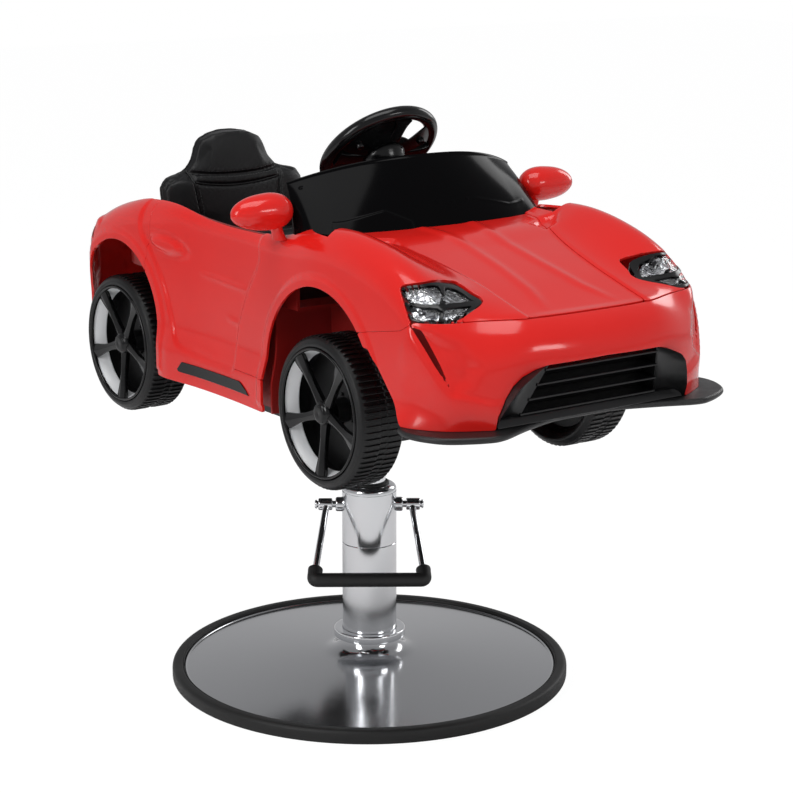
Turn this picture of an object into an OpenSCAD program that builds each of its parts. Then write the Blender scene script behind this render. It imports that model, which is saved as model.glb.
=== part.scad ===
// Kids car barber chair: a toy car body with a child's seat on a hydraulic pump and a round base.
// The origin is the centre of the base's underside, +Z is up and the car's nose points to -Y.

/* [Base and pump] */
// Diameter of the round base over its rubber ring
base_d = 610; // [560:5:700]
// Thickness of the steel base plate
plate_t = 6; // [4:1:10]
// Height of the rubber ring round the base
ring_h = 20; // [16:1:28]
// Height of the polished cover where it meets the collar
cover_h = 58; // [45:1:70]
// Diameter of the column tube
column_d = 83; // [75:1:95]
// Height of the seam between the column tube and the pump head
seam_z = 208; // [190:1:225]
// Height of the pump head's rounded top
head_z = 300; // [285:1:310]
// Diameter of the piston rod
rod_d = 50; // [40:1:60]
// How far the pump lifts the car
lift_travel = 100; // [80:5:120]
// Turn of the pump about the column, away from the car's nose
pump_turn = -35; // [-60:5:60]

/* [Pedal] */
// Height of the pedal's pivot
pivot_z = 266; // [255:1:275]
// Length of the pedal's arms
arm_len = 145; // [120:5:180]
// Diameter of the arms
arm_d = 10; // [8:1:12]
// Distance between the arms at the pivot
arm_gap = 130; // [125:1:140]
// Width of the rubber grip
grip_w = 186; // [170:2:200]
// Diameter of the rubber grip
grip_d = 21; // [18:1:24]
// Slope of the arms below the horizontal, pedal up
arm_slope = 35; // [30:1:40]

/* [Car] */
// Height of the wheels' lowest point with the pump down
ride_z = 380; // [370:1:400]
// Length from the column's axis to the front of the splitter
nose_out = 540; // [520:5:560]
// Length from the column's axis to the tail
tail_out = 490; // [475:5:500]
// Half of the body's width at the wheels
body_half = 240; // [230:1:250]
// Height of the sills' underside above the wheels' lowest point
sill_lift = 80; // [74:1:86]
// Height of the body from the sills to the top of the front wings
body_h = 280; // [270:1:290]
// Wall of the moulded body
wall = 4; // [3:0.5:5]

/* [Wheels] */
// Radius of the tyres
wheel_r = 107; // [100:1:110]
// Width of the tyres
wheel_w = 74; // [66:1:78]
// Distance of the front axle from the column's axis
front_axle = 221; // [215:1:228]
// Distance of the rear axle from the column's axis
rear_axle_y = 342; // [338:1:346]
// Diameter of the axles
axle_d = 12; // [10:1:14]
// Number of spokes of each wheel cover
spokes = 5; // [4:1:7]

/* [Cabin] */
// Length of the cabin opening behind the windscreen
cabin_len = 540; // [500:5:550]
// Half of the cabin opening's width
cabin_half = 208; // [200:1:212]
// Height of the windscreen's top above the sills
screen_h = 355; // [340:1:365]
// Width of the seat
seat_w = 390; // [370:2:396]
// Depth of the seat
seat_d = 160; // [150:2:170]
// Width of the backrest
back_w = 280; // [260:2:300]
// How far the mirrors stand out past the body
mirror_out = 60; // [50:2:70]
// Height of the headrest's top above the sills
back_top = 350; // [335:1:360]
// Radius of the steering wheel to the middle of its rim
steer_r = 83; // [75:1:90]
// Thickness of the steering wheel's rim
steer_t = 20; // [16:1:22]

/* [Hidden] */

// Overrun of a cut past the faces that it opens
over = 1;
// Running clearance of a shaft in its bore, on the radius
run = 0.05;
// Gap between pieces that only meet
seat_gap = 0.3;
// Sides of round bodies
round_fn = 64;
small_fn = 32;
base_fn = 96;

// Heights that the body hangs from
sill_z = ride_z + sill_lift;
axle_z = ride_z + wheel_r;
body_len = nose_out + tail_out;

// Smooth step from 0 to 1 while t goes from a to b
function ease(a, b, t) = let (q = max(0, min(1, (t - a) / (b - a)))) q * q * (3 - 2 * q);
// Plain mix of two values
function mix(a, b, q) = a + (b - a) * q;
// Slope of a table of points at its point i
function slope(p, i) = let (a = max(0, i - 1), b = min(len(p) - 1, i + 1))
    (p[b][1] - p[a][1]) / (p[b][0] - p[a][0]);
// Last point of the table that lies before t
function before(p, t, i = 0) = i >= len(p) - 2 || t < p[i + 1][0] ? i : before(p, t, i + 1);
// Smooth curve through a table of [place, value] points
function curve(p, t) =
    let (i = before(p, t), a = p[i], b = p[i + 1], w = b[0] - a[0],
         q = max(0, min(1, (t - a[0]) / w)), q2 = q * q, q3 = q2 * q)
    (2 * q3 - 3 * q2 + 1) * a[1] + (q3 - 2 * q2 + q) * w * slope(p, i)
    + (3 * q2 - 2 * q3) * b[1] + (q3 - q2) * w * slope(p, i + 1);

// The body's form: shares of its length from the nose, and shares of its height or half width
hood_shares = [[0, 0.65], [0.054, 0.7], [0.138, 0.786], [0.236, 0.876], [0.3, 0.93], [0.4, 0.94],
    [0.46, 0.905], [0.54, 0.893], [0.64, 0.905], [0.73, 0.94], [0.79, 0.935], [0.852, 0.885],
    [0.918, 0.805], [1, 0.65]];
wing_shares = [[0, 0.54], [0.04, 0.61], [0.087, 0.74], [0.128, 0.85], [0.179, 0.935], [0.253, 1],
    [0.319, 1.01], [0.379, 0.97], [0.44, 0.907], [0.53, 0.895], [0.63, 0.907], [0.73, 0.945],
    [0.79, 0.945], [0.852, 0.9], [0.918, 0.82], [1, 0.65]];
width_shares = [[0, 1], [0.11, 1.012], [0.31, 1.005], [0.42, 0.968], [0.53, 0.942], [0.63, 0.945],
    [0.75, 0.99], [0.86, 1.005], [0.94, 0.995], [1, 0.975]];
crown_shares = [[0, 0.16], [0.36, 0.16], [0.46, 0.08], [0.68, 0.08], [0.78, 0.14], [1, 0.145]];
// The hood's crease line: shares of the body's half width
crease_shares = [[0, 0.405], [0.05, 0.414], [0.1, 0.418], [0.14, 0.425], [0.207, 0.467], [0.265, 0.535],
    [0.3, 0.596], [0.42, 0.66], [1, 0.66]];
// How far the nose and the tail draw back at their corners, and where the corners lie
nose_draw = 55;
tail_draw = 25;
corner_share = 0.9;
nose_power = 2.6;
tail_power = 4;
// The sides lean in above this share of the height, and flare out below the next
lean_from_share = 0.46;
lean_in = 10;
flare_share = 0.3;
sill_flare = 9;
nose_flare = 14;
// Where the flares begin and end along the body: shares of its length
sill_span_shares = [0.3, 0.44, 0.7, 0.76];
nose_span_shares = [0.12, 0.2];

function along(y) = (y + nose_out) / body_len;
function place(share) = share * body_len - nose_out;
function high(share) = sill_z + share * body_h;
// What the surface needs at one station: hood height, wing height, half width, crown, crease
function station(y) = let (s = along(y)) [
    high(curve(hood_shares, s)), high(curve(wing_shares, s)), body_half * curve(width_shares, s),
    body_h * curve(crown_shares, s), body_half * curve(crease_shares, s)];
// Height of the body's top at x
function top_at(st, x) = mix(st[0], st[1], ease(st[4], body_half * corner_share, abs(x)));
// Half width of the body's side at z
function side_at(st, y, z) = let (h = (z - sill_z) / body_h, s = along(y))
    st[2] - lean_in * pow(max(0, (h - lean_from_share) / (1 - lean_from_share)), 2)
    + sill_flare * ease(flare_share, flare_share / 2, h)
        * ease(sill_span_shares[0], sill_span_shares[1], s)
        * ease(sill_span_shares[3], sill_span_shares[2], s)
    + nose_flare * ease(flare_share, flare_share / 2, h)
        * ease(nose_span_shares[1], nose_span_shares[0], s);
function nose_at(x) = -nose_out + nose_draw * pow(abs(x) / (body_half * corner_share), nose_power);
function tail_at(x) = tail_out - tail_draw * pow(abs(x) / (body_half * corner_share), tail_power);
// Below zero inside the body, drawn in by t
function body_f(st, x, y, z, t) = let (k = st[3],
    a = max(0, z - top_at(st, x) + t + k), b = max(0, abs(x) - side_at(st, y, z) + t + k),
    c = max(0, nose_at(x) - y + t + k), d = max(0, y - tail_at(x) + t + k))
    norm([a, b, c, d]) - k;
// Where a ray from the section's middle leaves the body, by halving
mid_share = 0.48;
reach = body_half * 2;
halvings = 13;
function hit(st, y, t, ux, uz, lo, hi, n) = n == 0 ? (lo + hi) / 2 :
    let (m = (lo + hi) / 2)
    body_f(st, ux * m, y, high(mid_share) + uz * m, t) > 0
        ? hit(st, y, t, ux, uz, lo, m, n - 1) : hit(st, y, t, ux, uz, m, hi, n - 1);
// One section of the body, from the right sill over the top to the left sill
rays = 44;
ray_low = -40;
// Rays crowd towards the crowns: how strongly, and at which turn
crowd = 14;
crowd_turn = 60;
function section(y, t) = let (st = station(y)) [for (i = [0:rays])
    let (b = mix(ray_low, 180 - ray_low, i / rays), side = sign(90 - b),
         a = b - side * crowd * sin(max(0, min(180, (abs(90 - b) - crowd_turn + 45) * 2))) / 2,
         ux = cos(a), uz = sin(a),
         r = hit(st, y, t, ux, uz, 0, reach, halvings))
    [ux * r, y, high(mid_share) + uz * r]];
// Stations along the body, closer together at its ends: shares of the length
station_shares = [0, 0.004, 0.01, 0.018, 0.028, 0.038, 0.048, 0.06, 0.074, 0.09, 0.106, 0.122, 0.14, 0.16,
    0.185, 0.21, 0.24, 0.27, 0.3, 0.34, 0.38, 0.42, 0.46, 0.52, 0.58, 0.64, 0.7, 0.75, 0.8, 0.84, 0.88,
    0.91, 0.935, 0.955, 0.97, 0.982, 0.991, 0.997, 1];
// How much of the length is left off at each end, where the sections shrink to nothing
tip_share = 0.0015;

// Smooth line through points, with n pieces between two of them
function spline(p, n) = concat([for (i = [0:len(p) - 2], j = [0:n - 1])
    let (a = p[max(0, i - 1)], b = p[i], c = p[i + 1], d = p[min(len(p) - 1, i + 2)], q = j / n)
    (b * 2 + (c - a) * q + (a * 2 - b * 5 + c * 4 - d) * q * q + (b * 3 - a - c * 3 + d) * q * q * q) / 2],
    [p[len(p) - 1]]);

// Closed solid through a list of rings with the same number of points each
module loft(rings) {
    n = len(rings[0]);
    m = len(rings);
    sides = [for (j = [0:m - 2], i = [0:n - 1]) let (a = j * n + i, b = j * n + (i + 1) % n)
        each [[a, b, a + n], [b, b + n, a + n]]];
    caps = [for (i = [1:n - 2]) each [[0, i + 1, i], [0, i, i + 1] + (m - 1) * n * [1, 1, 1]]];
    polyhedron([for (r = rings) each r], concat(sides, caps), convexity = 8);
}
// The whole body drawn in by t
module body_solid(t) {
    first = -nose_out + t + tip_share * body_len;
    last = tail_out - t - tip_share * body_len;
    loft([for (s = station_shares) section(mix(first, last, s), t)]);
}
// One mesh of a panel that is cut from the body's curved wall
module one_mesh() { resize([0, 0, 0]) children(); }
// The body's wall inside the zone that the children draw
module panel() {
    one_mesh() difference() {
        intersection() {
            body_solid(0);
            children();
        }
        body_solid(wall);
    }
}
// A prism across the car from an outline of [y, z] points, on one side from x0 to x1
module across(points, x0, x1) {
    translate([x0, 0, 0]) rotate([90, 0, 90]) linear_extrude(x1 - x0) polygon(points);
}
module on_side(side) { mirror([side > 0 ? 0 : 1, 0, 0]) children(); }

// Wheel arches: [y, z, radius] of each round, above the axles
front_arch_r = 141;
rear_arch_r = 118;
arch_lift = 33;
rear_arch_lift = 48;
rear_arch_shift = 7;
front_arch = [-front_axle, axle_z + arch_lift, front_arch_r];
rear_arch = [rear_axle_y - rear_arch_shift, axle_z + rear_arch_lift, rear_arch_r];
far = body_half + mirror_out;
module arch_cut(arch, low) {
    translate([-far, arch[0], arch[1]]) rotate([0, 90, 0]) cylinder(r = arch[2], h = 2 * far, $fn = round_fn);
    translate([-far, arch[0] - arch[2], low]) cube([2 * far, 2 * arch[2], arch[1] - low]);
}
// The front arch's leading edge slants forward to the bumper's corner
bumper_low_share = 0.19;
bumper_corner = 428;
// Where the slant's cut starts and where its line ends: shares of the arch's radius and of the height
slant_shares = [0.62, 0.9, 0.5];
module bumper_slant() {
    from = -front_axle - front_arch_r * slant_shares[0];
    top = high(slant_shares[2]);
    across([[from, axle_z], [-bumper_corner, axle_z], [-bumper_corner, high(bumper_low_share)],
        [-front_axle - front_arch_r * slant_shares[1], top], [from, top]], -far, far);
}

// The windscreen's foot in plan, behind the hood: a squared-off round
screen_corner = 124;
screen_depth = 68;
screen_half = 211;
screen_square = 3;
function foot_y(q) = -screen_corner - screen_depth * sqrt(max(0, 1 - pow(abs(q), screen_square)));
foot_steps = 24;
function foot(grow) = [for (i = [0:foot_steps]) let (q = -cos(180 * i / foot_steps))
    [q * (screen_half + grow), foot_y(q) - grow]];
// The cabin's opening in plan: behind the windscreen's foot, round at its rear corners
cabin_r = 90;
cabin_end = cabin_len - screen_corner;
function arc(cx, cy, r, a0, a1, n) = [for (i = [0:n]) let (a = mix(a0, a1, i / n))
    [cx + r * cos(a), cy + r * sin(a)]];
corner_steps = 8;
function cabin_outline(grow) = concat(
    [[-cabin_half - grow, -screen_corner - over], [cabin_half + grow, -screen_corner - over]],
    arc(cabin_half - cabin_r, cabin_end - cabin_r, cabin_r + grow, 0, 90, corner_steps),
    arc(-cabin_half + cabin_r, cabin_end - cabin_r, cabin_r + grow, 90, 180, corner_steps));
module top_opening() {
    translate([0, 0, high(mid_share)]) linear_extrude(body_h) polygon(cabin_outline(0));
    translate([0, 0, high(mid_share)]) linear_extrude(body_h) polygon(foot(seat_gap));
}

// Seams between the panels: shares of the body's length or height
bumper_top_share = 0.675;
door_share = 0.447;
quarter_share = 0.765;
tail_low_share = 0.17;
deep = body_h * 2;
crease_steps = 16;
function crease_line() = [for (i = [0:crease_steps])
    let (y = mix(-nose_out - over, place(door_share), i / crease_steps))
    [body_half * curve(crease_shares, max(0, along(y))), y]];
// The hood's zone in plan, between the crease lines
module hood_zone() {
    line = crease_line();
    translate([0, 0, high(mid_share)]) linear_extrude(deep)
        polygon(concat(line, [for (i = [len(line) - 1:-1:0]) [-line[i][0], line[i][1]]]));
}
fender_low_share = 0.45;
// The front bumper's zone from the side: all that lies before the arch and below the seam
bumper_shares = [[0.21, 0.565], [0.121, 0.626], [0.104, 0.66]];
module bumper_zone() {
    low = high(bumper_low_share);
    top = high(bumper_top_share);
    across(concat([[-nose_out - over, low], [place(bumper_shares[0][0]), low]],
        [for (p = bumper_shares) [place(p[0]), high(p[1])]],
        [[place(bumper_shares[2][0]), top], [-nose_out - over, top]]), -far, far);
}

// Hood between the crease lines
module hood() {
    color("red") panel() difference() {
        hood_zone();
        top_opening();
        bumper_zone();
    }
}
// What lies behind the front axle and before the door's front edge
door_shares = [[0.479, 1.1], [0.479, 0.88], [0.474, 0.75], [0.499, 0.6], [0.522, 0.44], [0.534, 0.29],
    [0.528, 0.13]];
module door_zone() {
    y = -front_axle - over;
    across(concat(spline([for (p = door_shares) [place(p[0]), high(p[1])]], 3),
        [[y, high(door_shares[6][1])], [y, high(door_shares[0][1])]]), 0, far);
}
// Front wing, open for the lamp and the wheel
module fender(side) {
    color("red") on_side(side) panel() difference() {
        union() {
            translate([0, -nose_out, high(fender_low_share)]) cube([far, nose_out - front_axle, body_h]);
            door_zone();
        }
        hood_zone();
        top_opening();
        bumper_zone();
        bumper_slant();
        arch_cut(front_arch, axle_z - wheel_r);
        lamp_prism(0);
    }
}
// Lamps and side slots are cut square to the wing's corner: this far round from straight ahead
corner_turn = 36;
prism_from = 395;
prism_to = 560;
module corner_prism(points) {
    rotate([0, 0, corner_turn]) rotate([90, 0, 0]) translate([0, 0, prism_from])
        linear_extrude(prism_to - prism_from) polygon(points);
}
// The lamp's outline, in shares of the half width and of the height
lamp_shares = [[-0.202, 0.801], [-0.223, 0.822], [-0.362, 0.835], [-0.471, 0.814], [-0.53, 0.794],
    [-0.588, 0.767], [-0.645, 0.739], [-0.572, 0.71], [-0.502, 0.686], [-0.386, 0.68], [-0.262, 0.676],
    [-0.242, 0.7]];
lamp_mid_shares = [-0.41, 0.752];
function lamp_points(grow) = [for (p = lamp_shares)
    let (c = [lamp_mid_shares[0] * body_half, high(lamp_mid_shares[1])],
         v = [p[0] * body_half, high(p[1])] - c)
    c + v * (norm(v) + grow) / norm(v)];
module lamp_prism(grow) { corner_prism(lamp_points(grow)); }
lamp_rim = 6;
lamp_deep = 18;
cross_w = 8;
// The lamp's black cross, drawn wider by grow
cross_shares = [[[-0.44, 0.85], [-0.415, 0.65]], [[-0.2, 0.752], [-0.66, 0.737]]];
module lamp_cross(grow) {
    for (bar = cross_shares) {
        p = [for (e = bar) [e[0] * body_half, high(e[1])]];
        n = (p[1] - p[0]) / norm(p[1] - p[0]) * (cross_w / 2 + grow);
        m = [-n[1], n[0]];
        corner_prism([p[0] + m, p[1] + m, p[1] - m, p[0] - m]);
    }
}
// Lamp housing: a black cup that follows the body, with a cross over it
module lamp(side) {
    color("black") on_side(side) one_mesh() difference() {
        intersection() {
            body_solid(seat_gap);
            lamp_prism(-seat_gap);
        }
        body_solid(lamp_deep);
        difference() {
            lamp_prism(-lamp_rim);
            body_solid(lamp_deep - wall);
            lamp_cross(0);
        }
    }
}
// Four clear lenses round the cross
lens_low = 1.5;
lens_t = 2.5;
module lens(side) {
    color("lightgrey") on_side(side) one_mesh() difference() {
        intersection() {
            body_solid(lens_low);
            lamp_prism(-lamp_rim - seat_gap);
        }
        body_solid(lens_low + lens_t);
        lamp_cross(seat_gap);
    }
}
// The grille's mouth from the front: shares of the half width and of the height
mouth_shares = [[0.68, 0.18], [0.67, 0.25], [0.63, 0.33], [0.59, 0.39], [0.54, 0.43], [0.47, 0.458],
    [0.39, 0.475], [0, 0.483]];
function mouth_points(grow) = concat(
    [for (p = mouth_shares) [p[0] * body_half + grow, high(p[1]) + grow]],
    [for (i = [len(mouth_shares) - 2:-1:0]) [-mouth_shares[i][0] * body_half - grow,
        high(mouth_shares[i][1]) + grow]]);
mouth_deep_share = 0.12;
module mouth_prism(grow) {
    y = place(mouth_deep_share);
    translate([0, y, 0]) rotate([90, 0, 0]) linear_extrude(y + nose_out + over) polygon(mouth_points(grow));
}
// The air slot below the lamp's outer corner
slot_shares = [[-0.26, 0.655], [-0.313, 0.642], [-0.36, 0.575], [-0.412, 0.492], [-0.47, 0.384],
    [-0.392, 0.481], [-0.329, 0.568]];
module slot_prism() { corner_prism([for (p = slot_shares) [p[0] * body_half, high(p[1])]]); }
// Front bumper with the mouth, the slots and the lamps' lower edges
module front_bumper() {
    color("red") panel() difference() {
        bumper_zone();
        bumper_slant();
        arch_cut(front_arch, axle_z - wheel_r);
        mouth_prism(0);
        for (s = [-1, 1]) on_side(s) {
            slot_prism();
            lamp_prism(0);
        }
    }
}
// Door and sill in one panel
module side(side) {
    color("red") on_side(side) panel() difference() {
        translate([0, place(door_share), sill_z]) cube([far, place(quarter_share) - place(door_share), deep]);
        door_zone();
        top_opening();
        arch_cut(rear_arch, axle_z - wheel_r);
        arch_cut(front_arch, axle_z - wheel_r);
    }
}
// Rear wing between the door and the tail
module quarter(side) {
    color("red") on_side(side) panel() difference() {
        translate([0, place(quarter_share), high(tail_low_share)])
            cube([far, tail_from - place(quarter_share), deep]);
        top_opening();
        arch_cut(rear_arch, axle_z - wheel_r);
    }
}
// Tail with its deck, from behind the cabin
tail_from = cabin_end + over;
module tail_panel() {
    color("red") panel() difference() {
        translate([-far, tail_from, high(tail_low_share)]) cube([2 * far, body_len, deep]);
        arch_cut(rear_arch, axle_z - wheel_r);
        tail_lamp_zone(0);
    }
}
// The lamp strip across the tail
tail_lamp_h = 16;
tail_lamp_share = 0.66;
module tail_lamp_zone(grow) {
    translate([-far, tail_from + wall, high(tail_lamp_share) - grow])
        cube([2 * far, body_len, tail_lamp_h + 2 * grow]);
}
module tail_lamp() {
    color("darkred") one_mesh() difference() {
        intersection() {
            body_solid(-seat_gap);
            tail_lamp_zone(-seat_gap);
        }
        body_solid(wall * 2);
    }
}

// Splitter: outline in plan from the centre to the tip, in shares of the half width and of the
// distance from the front axle to the nose
splitter_t = 9;
splitter_shares = [[0, 0.86], [0.22, 0.866], [0.48, 0.93], [0.68, 0.99], [0.8, 0.985], [0.98, 0.915],
    [1.06, 0.83], [1.09, 0.74], [1.07, 0.66], [1.02, 0.63], [0.9, 0.66]];
splitter_z = high(bumper_low_share) - splitter_t;
function before_axle(share) = -front_axle - share * (nose_out - front_axle);
module splitter() {
    half = spline([for (p = splitter_shares) [p[0] * body_half, before_axle(p[1])]], 3);
    color("dimgray") translate([0, 0, splitter_z]) linear_extrude(splitter_t)
        polygon(concat(half, [for (i = [len(half) - 1:-1:1]) [-half[i][0], half[i][1]]]));
}
// Grille: a backing wall that leans forward, with bars before it and a cheek at both ends
grille_bars = 4;
grille_deep = 26;
grille_lean = 34;
grille_front_share = 0.875;
bar_h = 5;
bar_low_share = 0.15;
bar_step_share = 0.25;
// Half widths of the bars at the mouth's foot and top, and of the cheeks' inner edges
bar_half_shares = [0.62, 0.44];
cheek_shares = [0.49, 0.38];
cheek_out = 13;
module grille() {
    low = splitter_z + splitter_t + seat_gap;
    top = high(mouth_shares[len(mouth_shares) - 1][1]) - seat_gap;
    front = before_axle(grille_front_share);
    lean = [0, -grille_lean];
    color("black") intersection() {
        mouth_prism(-seat_gap);
        union() {
            across([for (p = [[0, 0], [wall, 0], [wall, 1], [0, 1]])
                [front + grille_deep + p[0] + lean[p[1]], mix(low, top, p[1])]], -body_half, body_half);
            for (i = [0:grille_bars - 1]) {
                q = bar_low_share + i * bar_step_share;
                y = front - grille_lean * q;
                z = mix(low, top, q);
                w = body_half * mix(bar_half_shares[0], bar_half_shares[1], q);
                across([[y, z], [y, z - bar_h / 2], [y + grille_deep + over, z - bar_h],
                    [y + grille_deep + over, z + bar_h]], -w, w);
            }
            across([[front - cheek_out, low], [front + grille_deep + over, low],
                [front + grille_deep + over, mix(low, top, bar_low_share)],
                [front - grille_lean * bar_low_share, mix(low, top, bar_low_share)]], -body_half, body_half);
            for (s = [-1, 1]) on_side(s) loft([for (q = [1, 0])
                let (y = front - grille_lean * q, z = mix(low, top, q), x = cheek_shares[q] * body_half)
                [[x, y + grille_deep + over, z], [x, y - cheek_out, z], [body_half, y - cheek_out, z],
                    [body_half, y + grille_deep + over, z]]]);
        }
    }
}
// Black strips along both sills
strip_t = 1.5;
strip_h = 13;
strip_low_share = 0.055;
strip_shares = [0.485, 0.68];
module sill_strips() {
    color("black") for (s = [-1, 1]) on_side(s) one_mesh() difference() {
        intersection() {
            body_solid(-strip_t);
            translate([cabin_half, place(strip_shares[0]), high(strip_low_share)])
                cube([far, place(strip_shares[1]) - place(strip_shares[0]), strip_h]);
        }
        body_solid(-seat_gap);
    }
}

// Wheels, drawn about their own axis with the outer face at +X
rim_r = 91;
rim_lip = 5;
barrel_r = 80;
tyre_edge = 9;
hub_r = 17;
spoke_t = 9;
spoke_w = 17;
barrel_t = 3;
barrel_deep = 46;
web_t = 5;
hub_out = 24;
// Black wheel with its tyre, web and hub in one
module tyre() {
    bore = axle_d / 2 + run;
    color("black") rotate([0, 90, 0]) rotate_extrude($fn = round_fn) polygon([
        [bore, -wheel_w], [hub_r, -wheel_w], [hub_r, -barrel_deep - web_t], [barrel_r, -barrel_deep - web_t],
        [rim_r - web_t, -wheel_w + tyre_edge], [rim_r + tyre_edge / 2, -wheel_w],
        [wheel_r - tyre_edge, -wheel_w], [wheel_r, -wheel_w + tyre_edge],
        [wheel_r, -tyre_edge], [wheel_r - tyre_edge / 3, -tyre_edge / 3], [wheel_r - tyre_edge, 0],
        [rim_r + run, 0], [rim_r + run, -barrel_deep], [hub_r, -barrel_deep], [hub_r, -hub_out],
        [bore, -hub_out]]);
}
// Silver ring inside the rim
module barrel() {
    color("silver") rotate([0, 90, 0]) rotate_extrude($fn = round_fn) polygon([
        [rim_r, -web_t], [rim_r, -barrel_deep], [barrel_r, -barrel_deep], [barrel_r + barrel_t, -barrel_deep],
        [rim_r - barrel_t, -web_t]]);
}
cap_r = 13;
module cover() {
    color("black") rotate([0, 90, 0]) {
        rotate_extrude($fn = round_fn) polygon([
            [rim_r - rim_lip * 2, -web_t + seat_gap], [rim_r, -web_t + seat_gap],
            [rim_r, seat_gap], [rim_r - rim_lip, rim_lip / 3], [rim_r - rim_lip * 2, -rim_lip / 3]]);
        for (i = [0:spokes - 1]) rotate([0, 0, 360 * i / spokes]) hull() {
            translate([rim_r - rim_lip * 2 - spoke_t, -spoke_w / 3, -spoke_t])
                cube([spoke_t * 1.5, spoke_w * 2 / 3, spoke_t * 0.75]);
            translate([hub_r / 2, -spoke_w / 2, -spoke_t * 2]) cube([spoke_t, spoke_w, spoke_t]);
        }
        translate([0, 0, -hub_out]) cylinder(r = hub_r, h = hub_out - spoke_t / 2, $fn = small_fn);
        translate([0, 0, -spoke_t / 2])
            cylinder(r1 = cap_r, r2 = cap_r * 0.8, h = spoke_t * 0.4, $fn = small_fn);
    }
}
module at_wheel(side, y) {
    on_side(side) translate([wheel_face, y, axle_z]) children();
}

// Running gear
wheel_face = body_half;
king_x = 150;
king_d = 10;
knuckle_r = 12;
knuckle_h = 36;
arm_reach = 62;
arm_pin_d = 6;
arm_t = 6;
spindle_end = wheel_face - hub_out - over;
link_z = axle_z + arm_t / 2 + seat_gap;
// The pan's underside above the wheels' lowest point
pan_lift = 52;
pan_z = ride_z + pan_lift;
pan_h = 26;
beam_w = 30;
beam_t = 6;

module knuckle(side) {
    color("dimgray") on_side(side) difference() {
        union() {
            translate([king_x, -front_axle, axle_z - knuckle_h / 2])
                cylinder(r = knuckle_r, h = knuckle_h, $fn = small_fn);
            translate([king_x, -front_axle, axle_z]) rotate([0, 90, 0])
                cylinder(d = axle_d, h = spindle_end - king_x, $fn = small_fn);
            translate([king_x, -front_axle - arm_reach, axle_z - arm_t / 2]) {
                translate([-knuckle_r / 2, 0, 0]) cube([knuckle_r, arm_reach, arm_t]);
                cylinder(d = knuckle_r, h = arm_t, $fn = small_fn);
                cylinder(d = arm_pin_d, h = arm_t * 2 + pin_over, $fn = small_fn);
            }
        }
        translate([king_x, -front_axle, axle_z - knuckle_h])
            cylinder(d = king_d + 2 * run, h = knuckle_h * 2, $fn = small_fn);
    }
}
pin_over = 3;
slot_room = 1.5;
link_w = 22;
link_pin_d = 8;
link_pin_h = 26;
link_y = -front_axle - arm_reach;
// Bar between the knuckles, with a pin that goes up into the steering box
module tie_rod() {
    color("dimgray") difference() {
        union() {
            translate([-king_x - link_w / 2, link_y - link_w / 2, link_z])
                cube([2 * king_x + link_w, link_w, arm_t]);
            translate([0, link_y, link_z]) cylinder(d = link_pin_d, h = link_pin_h, $fn = small_fn);
        }
        for (s = [-1, 1], k = [-1, 1]) translate([s * king_x, link_y + k * slot_room, link_z - over])
            cylinder(d = arm_pin_d + slot_room, h = arm_t + 2 * over, $fn = small_fn);
        for (s = [-1, 1])
            translate([s * king_x - (arm_pin_d + slot_room) / 2, link_y - slot_room, link_z - over])
                cube([arm_pin_d + slot_room, 2 * slot_room, arm_t + 2 * over]);
    }
}
// Steering box: closed housing over the tie rod that the steering shaft runs into
box_w = 110;
box_l = 84;
box_h = 46;
box_leg = 12;
box_z = link_z + arm_t * 2;
box_slot = 62;
module steering_box() {
    y0 = link_y - box_l / 2;
    color("dimgray") difference() {
        union() {
            translate([-box_w / 2, y0, box_z]) cube([box_w, box_l, box_h]);
            for (x = [-box_w / 2, box_w / 2 - box_leg], y = [y0, y0 + box_l - box_leg])
                translate([x, y, pan_z + pan_h]) cube([box_leg, box_leg, box_z - pan_z - pan_h + over]);
        }
        translate([-box_slot / 2, link_y - link_pin_d, box_z - over])
            cube([box_slot, 2 * link_pin_d, link_pin_h]);
        on_shaft() translate([0, 0, -shaft_end - shaft_d])
            cylinder(d = shaft_d + slot_room, h = shaft_end, $fn = small_fn);
    }
}
// Front beam on the pan, with a yoke and a king pin for each knuckle
beam_low = axle_z - knuckle_h / 2 - beam_t - seat_gap;
beam_top = axle_z + knuckle_h / 2 + beam_t + seat_gap;
module front_beam() {
    color("dimgray") {
        for (z = [beam_low, beam_top - beam_t]) {
            translate([-king_x, -front_axle - beam_w / 2, z]) cube([2 * king_x, beam_w, beam_t]);
            for (s = [-1, 1]) translate([s * king_x, -front_axle, z])
                cylinder(d = beam_w, h = beam_t, $fn = small_fn);
        }
        translate([-pan_half, -front_axle - beam_w / 2, pan_z + pan_h])
            cube([2 * pan_half, beam_w, beam_top - pan_z - pan_h]);
    }
    color("silver") for (s = [-1, 1]) translate([s * king_x, -front_axle, beam_low])
        cylinder(d = king_d, h = beam_top - beam_low, $fn = small_fn);
}
// Chassis pan: a tray that is open below, with ribs, a solid seat for the swivel plate and axle blocks
pan_half = 118;
pan_mid_half = 192;
pan_behind = 100;
pan_front = -front_axle - beam_w / 2;
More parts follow.
